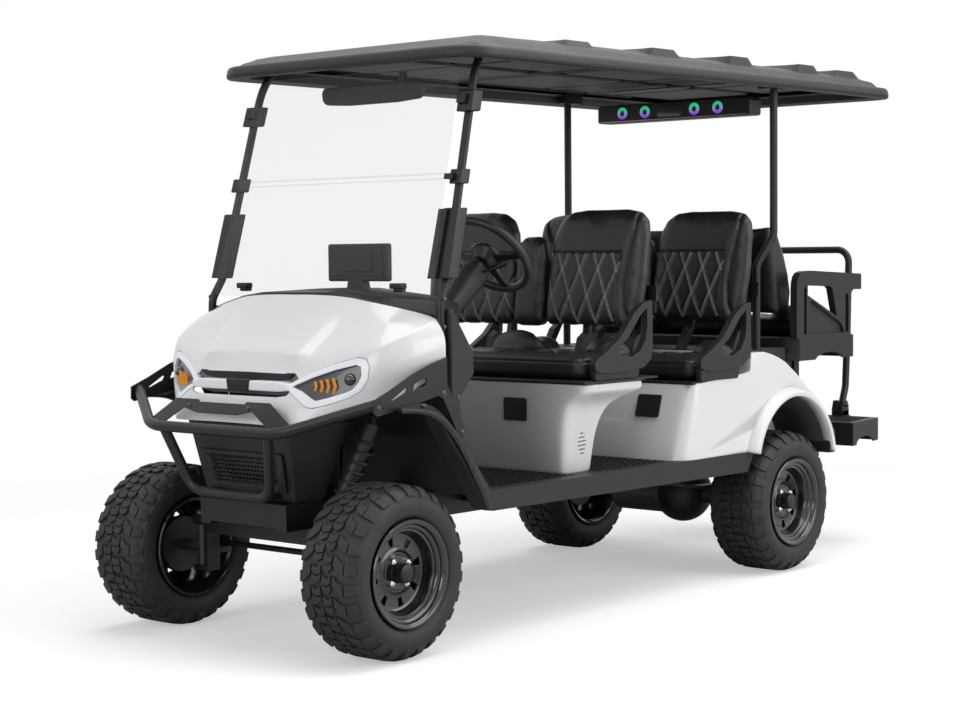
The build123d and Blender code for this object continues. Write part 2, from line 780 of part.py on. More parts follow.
# ---------------------------------------------------------------- canopy
roof_half_width = 650.0
roof_front = aft(330)
roof_rear = behind_rear(880)
roof_wall = 14.0
strut_foot = (562.0, aft(292), 1250.0)
strut_head_z = roof_edge_height - 132.0
strut_head = (536.0, strut_foot[1] + 162 / 615 * (strut_head_z - strut_foot[2]), strut_head_z)
canopy_rail_x = 515.0
roof_shoulder_x = 450.0
roof_shoulder_drop = 13.0
roof_brow_x = 560.0
roof_brow_drop = 43.0
shoulder_slope = (roof_brow_drop - roof_shoulder_drop) / (roof_brow_x - roof_shoulder_x)
roof_over_rail = roof_crown_height - roof_shoulder_drop - shoulder_slope * (canopy_rail_x - roof_shoulder_x)
rail_reach = (strut_diameter / 2 + fit_gap) * sqrt(1 + shoulder_slope**2)
canopy_rail_z = roof_over_rail - roof_wall - rail_reach
post_tube = 32.0
post_x = 541.0
post_y = behind_rear(12)
cover_top = 924.0

# sleeves and clips that hold the panes to the struts: (low, high)
glass_clamps = [
    (1251, glass_split_z - 111),
    (glass_split_z - 10, glass_split_z + 10),
    (glass_high_z - 136, glass_high_z - 106),
]
clamp_inner_x = 508.0
clamp_outer_x = 546.0


def glass_back(height):
    """Y just behind the leaning glass at a height."""
    return aft(231) + strut_lean * (height - glass_low_z) + glass_thickness / cos(lean_angle) + fit_gap


def strut_middle(height):
    """Y of the front strut's middle at a height."""
    share = (height - strut_foot[2]) / (strut_head[2] - strut_foot[2])
    return strut_foot[1] + share * (strut_head[1] - strut_foot[1])


with BuildPart() as front_canopy_frame:
    for side in both_sides:
        tube(
            [
                (side * 576, strut_y, 965),
                (side * 570, strut_y + strut_foot_lean, 1175),
                (side * strut_foot[0], *strut_foot[1:]),
                (side * strut_head[0], *strut_head[1:]),
                (side * 528, strut_head[1] + 38, roof_edge_height - 1),
                (side * canopy_rail_x, strut_head[1] + 106, canopy_rail_z),
                (side * canopy_rail_x, behind_rear(440), canopy_rail_z),
            ],
            strut_diameter, (60, 60, 300, 300, 60))
        for clamp_low, clamp_high in glass_clamps:
            corners = [
                (glass_back(clamp_low), clamp_low),
                (strut_middle(clamp_low), clamp_low),
                (strut_middle(clamp_high), clamp_high),
                (glass_back(clamp_high), clamp_high),
            ]
            side_slab(corners, *side_span(side, clamp_inner_x, clamp_outer_x))
    for cross_y in (aft(600), aft(1500), behind_rear(94)):
        rod((-canopy_rail_x, cross_y, canopy_rail_z), (canopy_rail_x, cross_y, canopy_rail_z), 24)
front_canopy_frame.part.label = "front_canopy_frame"

with BuildPart() as rear_canopy_frame:
    for side in both_sides:
        tube(
            [
                (side * 500, behind_rear(-56), cover_top),
                (side * 500, behind_rear(-56), 1270),
                (side * post_x, post_y, 1395),
                (side * post_x, post_y, canopy_rail_z - strut_diameter / 2 - 40),
            ],
            post_tube, (60, 60))
        block(side_span(side, canopy_rail_x - 12, post_x + 12), (post_y - 60, post_y + 60),
              (canopy_rail_z - strut_diameter / 2 - 42, canopy_rail_z - strut_diameter / 2 - fit_gap))
rear_canopy_frame.part.label = "rear_canopy_frame"


roof_corner = 140.0
roof_lip = 43.0


def roof_shape(inset, drop, mode):
    """The roof's outer volume, or the hollow inside it when inset by its wall."""
    lip_top = roof_edge_height + roof_lip - inset
    crown = roof_crown_height - inset
    low_edge = roof_edge_height - drop
    section = mirrored([
        (0, crown),
        (roof_shoulder_x, crown - roof_shoulder_drop),
        (roof_brow_x, crown - roof_brow_drop),
        (roof_half_width - 40, lip_top + 5),
        (roof_half_width - 12 - inset, lip_top),
        (roof_half_width - inset, low_edge),
    ])
    with BuildPart(mode=Mode.PRIVATE) as shape:
        front_slab(section, roof_front + inset, roof_rear - inset)
        with BuildPart(mode=Mode.PRIVATE) as side_view:
            side_slab(
                [
                    (roof_front + inset, low_edge),
                    (roof_front + 12 + inset, lip_top),
                    (roof_front + 70, lip_top + 6),
                    (roof_front + 130, crown - 44),
                    (roof_front + 200, crown - 28),
                    (roof_front + 700, crown - 16),
                    (roof_front + 1200, crown - 9),
                    (roof_front + 1800, crown),
                    (roof_rear - 256, crown),
                    (roof_rear - 136, crown - 28),
                    (roof_rear - 46, lip_top + 5),
                    (roof_rear - 12 - inset, lip_top),
                    (roof_rear - inset, low_edge),
                ],
                -roof_half_width - 1,
                roof_half_width + 1,
            )
        add(side_view.part, mode=Mode.INTERSECT)
        with BuildPart(mode=Mode.PRIVATE) as plan_view:
            with BuildSketch(Plane.XY.offset(low_edge - 1)) as plan:
                with Locations((0, (roof_front + roof_rear) / 2)):
                    RectangleRounded(2 * (roof_half_width - inset), roof_rear - roof_front - 2 * inset,
                                     roof_corner - inset)
            extrude(plan.sketch, amount=crown - low_edge + 2)
        add(plan_view.part, mode=Mode.INTERSECT)
    add(shape.part, mode=mode)


# raised cross ribs: (front, rear) behind the front axle, and how far each is below the highest
roof_ribs = [(1012, 1149, 14), (1554, 1693, 5), (2095, 2218, 0), (2617, 2730, 0), (2927, 3060, 6)]
rib_height = 18.0
rib_half_width = 520.0
with BuildPart() as roof:
    roof_shape(0, 0, Mode.ADD)
    for rib_front, rib_rear, rib_drop in roof_ribs:
        rib_top = roof_crown_height + rib_height - rib_drop
        with BuildSketch(Plane.XZ.offset(-aft(rib_rear))) as rib:
            with BuildLine():
                Polyline(*mirrored([
                    (0, rib_top),
                    (450, rib_top - 13),
                    (rib_half_width, roof_crown_height - 30),
                    (rib_half_width, roof_crown_height - 60),
                ]), close=True)
            make_face()
        extrude(rib.sketch, amount=rib_rear - rib_front)
    roof_shape(roof_wall, 30, Mode.SUBTRACT)
roof.part.label = "roof"

bar_bottom = roof_edge_height - 92.0
with BuildPart() as sound_bar:
    bar_y = behind_rear(94)
    block((-400, 400), (bar_y - 45, bar_y + 45), (bar_bottom, bar_bottom + 78))
    for side in both_sides:
        block(side_span(side, 280, 310), (bar_y - 15, bar_y + 15),
              (bar_bottom + 77, canopy_rail_z - 12 - fit_gap))
sound_bar.part.label = "sound_bar"

with BuildPart() as mirror_piece:
    mirror_y = aft(600)
    mirror_top = roof_edge_height - 65
    block((-245, 245), (mirror_y - 80, mirror_y - 55), (mirror_top - 54, mirror_top))
    side_slab(
        [
            (mirror_y - 70, mirror_top - 1),
            (mirror_y - 58, mirror_top - 1),
            (mirror_y + 10, canopy_rail_z - 12 - fit_gap),
            (mirror_y - 10, canopy_rail_z - 12 - fit_gap),
        ],
        -20, 20)
mirror_piece.part.label = "mirror"

# ---------------------------------------------------------------- windscreen


def glass_panel(z_low, z_high):
    """One pane of the leaning windscreen, between two heights."""
    stretch = 1 / cos(lean_angle)
    taper = (glass_low_half - glass_high_half) / (glass_high_z - glass_low_z)
    corners = []
    for height in (z_low, z_high):
        half = glass_low_half - taper * (height - glass_low_z)
        corners.append((half, (height - glass_low_z) * stretch))
    (low_half, low), (high_half, high) = corners
    with BuildSketch(glass_plane) as pane:
        with BuildLine():
            Polyline((-low_half, low), (low_half, low), (high_half, high), (-high_half, high), close=True)
        make_face()
    extrude(pane.sketch, amount=-glass_thickness)


with BuildPart() as windshield_lower:
    glass_panel(glass_low_z, glass_split_z - split_gap / 2)
windshield_lower.part.label = "windshield_lower"

with BuildPart() as windshield_upper:
    glass_panel(glass_split_z + split_gap / 2, glass_high_z)
windshield_upper.part.label = "windshield_upper"

with BuildPart() as windshield_bar:
    with BuildSketch(glass_plane) as bar:
        middle = (glass_split_z - glass_low_z) / cos(lean_angle)
        with Locations((0, middle)):
            Rectangle(2 * 522, split_gap)
    extrude(bar.sketch, amount=-glass_thickness)
windshield_bar.part.label = "windshield_bar"

# ---------------------------------------------------------------- seat pods and rear body
pod_front = aft(1002)
pod_bottom_half = 492.0
pod_top_half = 602.0
deck_thickness = 8.0
front_pod_top = front_deck_top - deck_thickness
pod_side_view = [
    (pod_front, floor_top),
    (aft(1180), floor_top),
    (aft(1195), floor_top + 125),
    (aft(1228), 720),
    (aft(1285), 778),
    (aft(1420), 800),
    (aft(1420), front_pod_top),
    (pod_front, front_pod_top),
]
pod_front_view = [
    (0, front_pod_top),
    (pod_top_half, front_pod_top),
    (pod_top_half - 6, 800),
    (545, 765),
    (515, 700),
    (pod_bottom_half + 8, 600),
    (pod_bottom_half, floor_top),
]
with BuildPart() as front_seat_pod:
    side_slab(pod_side_view, -pod_top_half, pod_top_half)
    with BuildPart(mode=Mode.PRIVATE) as pod_width:
        front_slab(mirrored(pod_front_view), pod_front - 1, aft(1421))
    add(pod_width.part, mode=Mode.INTERSECT)
    with BuildPart(mode=Mode.PRIVATE) as pod_plan:
        plan_slab(
            [
                (-540, pod_front), (540, pod_front), (584, aft(1020)), (pod_top_half, aft(1080)),
                (pod_top_half, aft(1420)), (-pod_top_half, aft(1420)), (-pod_top_half, aft(1080)),
                (-584, aft(1020)),
            ],
            floor_top, front_pod_top)
    add(pod_plan.part, mode=Mode.INTERSECT)
    side_slab(
        [
            (pod_front + wall, floor_top - 1),
            (aft(1180) - wall, floor_top - 1),
            (aft(1195) - wall, floor_top + 125),
            (aft(1228) - wall, 726),
            (aft(1280), 778 + wall),
            (aft(1420) - wall, 800 + wall),
            (aft(1420) - wall, front_pod_top + 1),
            (pod_front + wall, front_pod_top + 1),
        ],
        -pod_bottom_half + wall, pod_bottom_half - wall, mode=Mode.SUBTRACT)
front_seat_pod.part.label = "front_seat_pod"

arch_centre_y = behind_rear(29)
arch_centre_z = 440.0
arch_radius = 290.0
well_inner_x = wheel_x - tyre_width / 2 - 20
deck_side_x = body_half_width - wall
middle_front_low = aft(1600)
middle_front_high = aft(1690)
seat_back_y = aft(2120)
cover_half = 520.0
body_side_view = [
    (middle_front_low, floor_top),
    (middle_front_high, middle_deck_top - 4),
    (aft(1740), middle_deck_top - 4),
    (behind_rear(-281), 845),
    (behind_rear(-232), 845),
    (behind_rear(-226), cover_top),
    (behind_rear(-106), 908),
    (behind_rear(-6), 873),
    (behind_rear(74), 825),
    (behind_rear(144), 777),
    (behind_rear(224), 722),
    (behind_rear(283), 671),
    (behind_rear(326), 600),
    (behind_rear(348), 487),
    (behind_rear(310), 487),
    (behind_rear(310), floor_top),
]
with BuildPart() as rear_body:
    side_slab(body_side_view, -body_half_width, body_half_width)
    for side in both_sides:
        x_round(side, body_half_width - 1, body_half_width + 42, arch_radius + 42, arch_centre_y, arch_centre_z)
    block((-700, 700), (aft(1500), behind_rear(600)), (100, 487), mode=Mode.SUBTRACT)
    for side in both_sides:
        x_round(side, well_inner_x, body_half_width + 50, arch_radius, arch_centre_y, arch_centre_z,
                mode=Mode.SUBTRACT)
        block(side_span(side, body_half_width - 0.5, body_half_width + 50),
              (arch_centre_y - 400, arch_centre_y + 400), (400, rocker_top), mode=Mode.SUBTRACT)
        block(side_span(side, rocker_inner_x, body_half_width + 50),
              (aft(1500), rocker_rear + 60), (400, rocker_top), mode=Mode.SUBTRACT)
    block((-deck_side_x, deck_side_x), (middle_front_high, seat_back_y),
          (middle_deck_top - deck_thickness, 1000), mode=Mode.SUBTRACT)
    block((-cover_half, cover_half), (seat_back_y - 1, behind_rear(400)), (850, 1000), mode=Mode.SUBTRACT)
    inner_half = well_inner_x - wall
    side_slab(
        [
            (middle_front_low + wall + 4, floor_top - 40),
            (middle_front_high + wall, middle_deck_top + 20),
            (seat_back_y, middle_deck_top + 20),
            (seat_back_y, 900),
            (behind_rear(400), 900),
            (behind_rear(400), floor_top - 40),
        ],
        -inner_half, inner_half, mode=Mode.SUBTRACT)
    for side in both_sides:
        side_slab(
            [
                (middle_front_low + wall + 4, floor_top - 40),
                (middle_front_high + wall, middle_deck_top + 20),
                (behind_rear(-300), middle_deck_top + 20),
                (behind_rear(-300), floor_top - 40),
            ],
            *side_span(side, inner_half - 1, deck_side_x), mode=Mode.SUBTRACT)
rear_body.part.label = "rear_body"

# ---------------------------------------------------------------- seats
cushion_half = 575.0
cushion_depth = 380.0
cushion_height = 96.0
hip_inner_x = deck_side_x + fit_gap
hip_outer_x = hip_inner_x + 25
back_height = 489.0
back_bottom_z = 1028.0
back_thickness_low = 98.0
back_thickness_high = 74.0
back_recline = 70.0         # how far the top lies behind the bottom
side_pad_inner = 66.0
side_pad_outer = 566.0
middle_pad_half = 84.0
middle_pad_drop = 107.0
middle_pad_forward = (8.0, 30.0)   # how far its foot and its top stand before the side pads
back_overlap = 8.0          # how far the pads' feet stand over the cushion


def back_rear(pad_front, height):
    """Y of the back pads' rear face at a height."""
    top_offset = back_recline + back_thickness_high
    share = (height - back_bottom_z) / back_height
    return pad_front + back_thickness_low + share * (top_offset - back_thickness_low)


# name, cushion front, deck height, height of what carries the back's brackets
seat_rows = [
    ("front", aft(1020), front_deck_top, front_deck_top),
    ("middle", aft(1020) + seat_pitch, middle_deck_top, cover_top),
]

with BuildPart() as seat_decks:
    plan_slab(
        [
            (-540, pod_front), (540, pod_front), (584, aft(1020)), (pod_top_half, aft(1080)),
            (pod_top_half, aft(1452)), (-pod_top_half, aft(1452)), (-pod_top_half, aft(1080)),
            (-584, aft(1020)),
        ],
        front_pod_top, front_deck_top)
    block((-deck_side_x, deck_side_x), (middle_front_high, seat_back_y),
          (middle_deck_top - deck_thickness, middle_deck_top))
    block((-cover_half, cover_half), (seat_back_y, behind_rear(134)), (850, cover_top))
seat_decks.part.label = "seat_decks"

cushions = {}
backs = {}
for row_name, cushion_front, deck_z, carrier_z in seat_rows:
    cushion_rear = cushion_front + cushion_depth
    cushion_bottom = deck_z + fit_gap
    with BuildPart() as cushion:
        block((-cushion_half, cushion_half), (cushion_front, cushion_rear),
              (cushion_bottom, cushion_bottom + cushion_height))
        fillet(cushion.edges().group_by(Axis.Z)[-1], 24)
    cushion.part.label = f"{row_name}_cushion"
    cushions[row_name] = cushion.part

    pad_front = cushion_rear - back_overlap
    # inner edge, outer edge, height, foot forward, top forward
    pads = [
        (side_pad_inner, side_pad_outer, back_height, 0, 0),
        (-side_pad_outer, -side_pad_inner, back_height, 0, 0),
        (-middle_pad_half, middle_pad_half, back_height - middle_pad_drop, *middle_pad_forward),
    ]
    with BuildPart() as back:
        for pad_low_x, pad_high_x, pad_height, foot_forward, top_forward in pads:
            pad_top = back_bottom_z + pad_height
            side_slab(
                [
                    (pad_front - foot_forward, back_bottom_z),
                    (pad_front + back_recline * pad_height / back_height - top_forward, pad_top),
                    (back_rear(pad_front, pad_top - 8), pad_top - 8),
                    (back_rear(pad_front, back_bottom_z), back_bottom_z),
                ],
                pad_low_x, pad_high_x)
    back.part.label = f"{row_name}_backrests"
    backs[row_name] = back.part

bracket_half_width = 16.0
with BuildPart() as seat_back_frames:
    for row_name, cushion_front, deck_z, carrier_z in seat_rows:
        pad_front = cushion_front + cushion_depth - back_overlap
        bracket_top = back_bottom_z + back_height - 76
        face_low = back_rear(pad_front, back_bottom_z) + fit_gap
        face_high = back_rear(pad_front, bracket_top) + fit_gap
        for bracket_x in (-480, -230, 230, 480):
            side_slab(
                [
                    (pad_front + back_overlap + 6, carrier_z),
                    (pad_front + 52, carrier_z),
                    (face_low + 18, back_bottom_z - 12),
                    (face_high + 15, bracket_top),
                    (face_high, bracket_top),
                    (face_low, back_bottom_z),
                    (face_low, back_bottom_z - 6),
                    (pad_front + 60, back_bottom_z - 30),
                ],
                bracket_x - bracket_half_width, bracket_x + bracket_half_width)
        bar_low_z = back_bottom_z + 117
        bar_high_z = bar_low_z + 60
        bar_face = [back_rear(pad_front, height) + fit_gap for height in (bar_low_z, bar_high_z)]
        side_slab(
            [
                (bar_face[0], bar_low_z),
                (bar_face[1], bar_high_z),
                (bar_face[1] + 12, bar_high_z),
                (bar_face[0] + 12, bar_low_z),
            ],
            -560, 560)
seat_back_frames.part.label = "seat_back_frames"

with BuildPart() as hip_restraints:
    # base line of each row's side plate: (front y, front z, rear y, rear z)
    hip_bases = [
        (aft(1040), front_deck_top, aft(1405), front_deck_top),
        (aft(1752), 819, behind_rear(-281), 845),
    ]
    for base_front_y, base_front_z, base_rear_y, base_rear_z in hip_bases:
        for side in both_sides:
            hip_x = side_span(side, hip_inner_x, hip_outer_x)
            side_slab(
                [
                    (base_front_y, base_front_z),
                    (base_rear_y, base_rear_z),
                    (base_rear_y + 14, base_rear_z + 40),
                    (base_rear_y + 14, base_rear_z + 282),
                    (base_rear_y - 12, base_rear_z + 288),
                    (base_front_y + 30, base_front_z + 78),
                    (base_front_y - 4, base_front_z + 42),
                ],
                *hip_x)
            side_slab(
                [
                    (base_rear_y - 215, base_rear_z + 82),
                    (base_rear_y - 30, base_rear_z + 82),
                    (base_rear_y - 12, base_rear_z + 104),
                    (base_rear_y - 12, base_rear_z + 254),
                ],
                hip_x[0] - 1, hip_x[1] + 1, mode=Mode.SUBTRACT)
hip_restraints.part.label = "hip_restraints"

# ---------------------------------------------------------------- rear-facing seat
platform_half = 560.0
platform_front = behind_rear(134)
platform_rear = behind_rear(633)
arm_inner_x = 530.0
rear_back_front_low = (behind_rear(150), 1050.0)
rear_back_rear_low = (behind_rear(262), 1058.0)


def rear_back_underside(y):
    """Height of the rear backrest's underside at a Y."""
    (front_y, front_z), (rear_y, rear_z) = rear_back_front_low, rear_back_rear_low
    return front_z + (rear_z - front_z) * (y - front_y) / (rear_y - front_y)


with BuildPart() as rear_platform:
    plan_slab(
        [
            (-platform_half + 60, platform_front), (platform_half - 60, platform_front),
            (platform_half, platform_front + 50), (platform_half, platform_rear),
            (-platform_half, platform_rear), (-platform_half, platform_front + 50),
        ],
        platform_bottom, platform_top)
    block((-platform_half + wall, platform_half - wall), (platform_front + wall, platform_rear - wall),
          (platform_bottom - 1, platform_top - wall), mode=Mode.SUBTRACT)
    for side in both_sides:
        arm_x = side_span(side, arm_inner_x, platform_half)
        side_slab(
            [
                (behind_rear(162), platform_top - 1),
                (behind_rear(162), 1212),
                (behind_rear(190), 1240),
                (behind_rear(698), 1226),
                (behind_rear(698), 1162),
                (behind_rear(608), 1166),
                (behind_rear(608), platform_top - 1),
            ],
            *arm_x)
        side_slab(
            [
                (behind_rear(206), 1196),
                (behind_rear(560), 1188),
                (behind_rear(566), 1016),
                (behind_rear(540), 1010),
                (behind_rear(206), 1096),
            ],
            arm_x[0] - 1, arm_x[1] + 1, mode=Mode.SUBTRACT)
    for side in both_sides:
        side_slab(
            [
                (behind_rear(162), platform_top - 1),
                (behind_rear(250), platform_top - 1),
                (behind_rear(250), rear_back_underside(behind_rear(250)) - fit_gap),
                (behind_rear(162), rear_back_underside(behind_rear(162)) - fit_gap),
            ],
            *side_span(side, 280, 320))
rear_platform.part.label = "rear_platform"

rear_cushion_half = 505.0
rear_cushion_front = behind_rear(276)
rear_cushion_rear = behind_rear(629)
with BuildPart() as rear_cushion:
    block((-rear_cushion_half, rear_cushion_half), (rear_cushion_front, rear_cushion_rear),
          (platform_top + fit_gap, platform_top + 88))
    fillet(rear_cushion.edges().group_by(Axis.Z)[-1], 22)
rear_cushion.part.label = "rear_cushion"

rear_back_half = 490.0
with BuildPart() as rear_backrest:
    side_slab(
        [
            rear_back_rear_low,
            (behind_rear(152), 1452),
            (behind_rear(72), 1440),
            rear_back_front_low,
        ],
        -rear_back_half, rear_back_half)
rear_backrest.part.label = "rear_backrest"

step_top = 565.0
step_bottom = 461.0
step_front = behind_rear(684)
step_rear = behind_rear(1010)
step_front_half = 530.0
step_rear_half = 472.0
accessory_spacing_x = 400.0
accessory_spacing_y = 120.0
accessory_hole_radius = 5.5
with BuildPart() as footplate:
    plan_slab(
        [
            (-step_front_half, step_front), (step_front_half, step_front),
            (step_front_half, step_front + 60), (step_rear_half, step_rear),
            (-step_rear_half, step_rear), (-step_front_half, step_front + 60),
        ],
        step_bottom, step_top)
    plan_slab(
        [
            (-step_front_half + wall, step_front + wall), (step_front_half - wall, step_front + wall),
            (step_front_half - wall, step_front + 56), (step_rear_half - wall, step_rear - wall),
            (-step_rear_half + wall, step_rear - wall), (-step_front_half + wall, step_front + 56),
        ],
        step_bottom - 1, step_top - wall, mode=Mode.SUBTRACT)
    with Locations((0, behind_rear(850), step_top)):
        with GridLocations(accessory_spacing_x, accessory_spacing_y, 2, 2):
            Cylinder(accessory_hole_radius, 4 * wall, mode=Mode.SUBTRACT)
footplate.part.label = "footplate"

hoop_x = 300.0
hoop_tube = 32.0
hoop_top = 1333.0
hoop_y = behind_rear(tail_reach) - hoop_tube / 2
with BuildPart() as grab_hoop:
    tube(
        [
            (hoop_x, behind_rear(964), step_top + 20),
            (hoop_x, hoop_y - 30, 700),
            (hoop_x, hoop_y - 16, 900),
            (hoop_x, hoop_y, hoop_top),
            (-hoop_x, hoop_y, hoop_top),
            (-hoop_x, hoop_y - 16, 900),
            (-hoop_x, hoop_y - 30, 700),
            (-hoop_x, behind_rear(964), step_top + 20),
        ],
        hoop_tube, (60, 60, 60, 60, 60, 60))
    for side in both_sides:
        block(side_span(side, hoop_x - 28, hoop_x + 28), (behind_rear(936), behind_rear(992)),
              (step_top, step_top + 26))
grab_hoop.part.label = "grab_hoop"

with BuildPart() as battery_block:
    block((-300, 300), (pod_front + wall + 4, aft(1160)), (floor_top, 780))
battery_block.part.label = "battery_block"

# ---------------------------------------------------------------- output
pieces = [
    main_frame.part, frame_posts.part, outriggers.part, shock_towers.part, floor_pan.part,
    rockers.part, front_cowl.part, headlamps.part, lower_fascia.part,
    grille.part, brush_guard.part, front_flares.part, side_panels.part, dashboard.part,
    windshield_lower.part, windshield_upper.part, windshield_bar.part, front_canopy_frame.part,
    rear_canopy_frame.part, roof.part, sound_bar.part, mirror_piece.part, display.part,
    steering_column.part, steering_wheel.part, pedals.part, front_seat_pod.part, rear_body.part,
    seat_decks.part, seat_back_frames.part, hip_restraints.part, rear_platform.part, rear_cushion.part,
    rear_backrest.part, footplate.part, grab_hoop.part, battery_block.part, front_axle.part,
    tie_rod.part, suspension.part, rear_axle.part,
]
pieces += list(knuckles.values()) + list(cushions.values()) + list(backs.values())
pieces += list(wheels.values()) + list(tyres.values())
for piece in pieces:
    export_step(piece, f"parts/{piece.label}.step")
print(len(pieces), "pieces; front axle y", round(front_axle_y, 1), "rear axle y", round(rear_axle_y, 1))
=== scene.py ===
# %% [markdown]
# A lifted six-seat golf cart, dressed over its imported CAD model. The CAD solids are the
# frame: they give every place and every moving body, in metres, with X to the cart's
# left, -Y forward and Z up. Each step below makes one piece or one finish and says why
# it is made that way.

# %% Load the frame
import bpy, bmesh, math
from mathutils import Matrix, Vector, noise


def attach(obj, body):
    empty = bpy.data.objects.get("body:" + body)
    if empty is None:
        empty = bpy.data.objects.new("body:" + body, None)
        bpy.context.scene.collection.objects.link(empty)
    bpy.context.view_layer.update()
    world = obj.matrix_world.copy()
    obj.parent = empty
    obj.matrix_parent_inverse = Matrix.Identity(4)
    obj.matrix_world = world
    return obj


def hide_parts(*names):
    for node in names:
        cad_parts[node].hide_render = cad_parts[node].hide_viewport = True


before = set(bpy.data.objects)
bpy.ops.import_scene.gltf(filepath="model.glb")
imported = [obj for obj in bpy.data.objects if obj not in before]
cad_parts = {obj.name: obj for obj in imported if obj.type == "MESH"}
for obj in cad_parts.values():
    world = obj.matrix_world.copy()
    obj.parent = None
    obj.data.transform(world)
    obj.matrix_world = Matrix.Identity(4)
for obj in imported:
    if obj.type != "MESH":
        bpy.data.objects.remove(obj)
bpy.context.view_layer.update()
scene = bpy.context.scene
front_axle, rear_axle = -1.560, 0.796
wheel_x, wheel_z = 0.526, 0.292

# %% [markdown]
# The camera stands at the front left, a little above the seats, and looks down by a few
# degrees. A long lens keeps the wheels round. The small shift frames the cart.

# %% Camera
turn, dip, roll = math.radians(41.48), math.radians(3.457), math.radians(-0.59)
ahead = Vector((-math.sin(turn) * math.cos(dip), math.cos(turn) * math.cos(dip), -math.sin(dip)))
level = Vector((math.cos(turn), math.sin(turn), 0))
above = level.cross(ahead)
across = level * math.cos(roll) + above * math.sin(roll)
upright = above * math.cos(roll) - level * math.sin(roll)
lens = bpy.data.cameras.new("camera")
lens.lens, lens.sensor_width = 74.23, 36
lens.shift_x, lens.shift_y = 0.0304, 0.0131
camera = bpy.data.objects.new("camera", lens)
camera.matrix_world = Matrix.Translation((4.998, -6.270, 1.337)) @ Matrix(
    (across, upright, -ahead)).transposed().to_4x4()
scene.collection.objects.link(camera)
scene.camera = camera
scene.view_settings.view_transform = "Standard"
print("camera at", tuple(round(v, 2) for v in camera.location))

# %% [markdown]
# Soft studio light: one wide panel overhead, one on the cart's left, and a weaker one in
# front. Wide panels leave soft shadows and long quiet reflections on black mouldings.
# The world fills the rest, and only the camera, mirrors and glass see it white.

# %% Lights and world


def softbox(name, place, aim, width, height, power):
    """A wide area lamp that faces a point."""
    data = bpy.data.lights.new(name, "AREA")
    data.shape, data.size, data.size_y, data.energy = "RECTANGLE", width, height, power
    lamp = bpy.data.objects.new(name, data)
    lamp.location = place
    lamp.rotation_mode = "QUATERNION"
    lamp.rotation_quaternion = (Vector(aim) - Vector(place)).to_track_quat("-Z", "Y")
    scene.collection.objects.link(lamp)
    return lamp


softbox("overhead", (0.6, 0.4, 5.2), (0, 0, 1), 4.5, 6.5, 245)
softbox("left_panel", (5.5, 1.6, 2.6), (0, 0.2, 1.0), 5.0, 3.0, 122)
softbox("front_panel", (1.0, -6.8, 2.6), (0, -1.5, 0.9), 3.4, 2.4, 78)


def shader(tree, kind, x=0, y=0, **values):
    """A node with its sockets set by name; a link is given as another node's socket."""
    node = tree.nodes.new(kind)
    node.location = (x, y)
    for key, value in values.items():
        if key.startswith("set_"):
            setattr(node, key[4:], value)
            continue
        socket = node.inputs[int(key[1:])] if key[0] == "i" and key[1:].isdigit() else node.inputs[key.replace("_",
                " ")]
        if isinstance(value, bpy.types.NodeSocket):
            tree.links.new(value, socket)
        else:
            socket.default_value = value
    return node


world = bpy.data.worlds.new("studio")
scene.world = world
world.use_nodes = True
sky = world.node_tree
sky.nodes.clear()
ray = shader(sky, "ShaderNodeLightPath")
clear = shader(sky, "ShaderNodeMath", set_operation="MAXIMUM", i0=ray.outputs["Is Camera Ray"],
               i1=ray.outputs["Is Transmission Ray"])
seen = shader(sky, "ShaderNodeMath", set_operation="MAXIMUM", i0=clear.outputs[0],
              i1=ray.outputs["Is Glossy Ray"])
soft = shader(sky, "ShaderNodeBackground", Color=(0.97, 0.98, 1, 1), Strength=0.34)
white = shader(sky, "ShaderNodeBackground", Color=(1, 1, 1, 1), Strength=1.0)
mixed = shader(sky, "ShaderNodeMixShader", i0=seen.outputs[0], i1=soft.outputs[0], i2=white.outputs[0])
shader(sky, "ShaderNodeOutputWorld", Surface=mixed.outputs[0])
print("3 lamps and the world")

# %% [markdown]
# The floor is one wide pale sheet. The camera sees part of its white as its own glow, so
# that it meets the white world with no edge, and the other part as paint, so that it
# keeps the cart's soft shadow.

# %% Floor
floor_mesh = bpy.data.meshes.new("floor")
shape = bmesh.new()
bmesh.ops.create_grid(shape, x_segments=1, y_segments=1, size=60)
shape.to_mesh(floor_mesh)
shape.free()
floor = bpy.data.objects.new("floor", floor_mesh)
scene.collection.objects.link(floor)
paper = bpy.data.materials.new("floor_paper")
paper.use_nodes = True
tree = paper.node_tree
tree.nodes.clear()
ray = shader(tree, "ShaderNodeLightPath")
matt = shader(tree, "ShaderNodeBsdfDiffuse", Color=(0.78, 0.78, 0.78, 1))
glow = shader(tree, "ShaderNodeEmission", Color=(1, 1, 1, 1), Strength=0.42)
near = shader(tree, "ShaderNodeAddShader", i0=matt.outputs[0], i1=glow.outputs[0])
place = shader(tree, "ShaderNodeTexCoord")
reach = shader(tree, "ShaderNodeVectorMath", set_operation="LENGTH", i0=place.outputs["Object"])
fade = shader(tree, "ShaderNodeMapRange", set_interpolation_type="SMOOTHSTEP", Value=reach.outputs["Value"],
              From_Min=2.6, From_Max=5.2, To_Min=0.0, To_Max=1.0)
blank = shader(tree, "ShaderNodeEmission", Color=(1, 1, 1, 1), Strength=1.0)
sheet = shader(tree, "ShaderNodeMixShader", i0=fade.outputs[0], i1=near.outputs[0], i2=blank.outputs[0])
direct = shader(tree, "ShaderNodeMath", set_operation="MAXIMUM", i0=ray.outputs["Is Camera Ray"],
                i1=ray.outputs["Is Transmission Ray"])
pick = shader(tree, "ShaderNodeMixShader", i0=direct.outputs[0], i1=matt.outputs[0], i2=sheet.outputs[0])
shader(tree, "ShaderNodeOutputMaterial", Surface=pick.outputs[0])
floor_mesh.materials.append(paper)
print("floor laid")

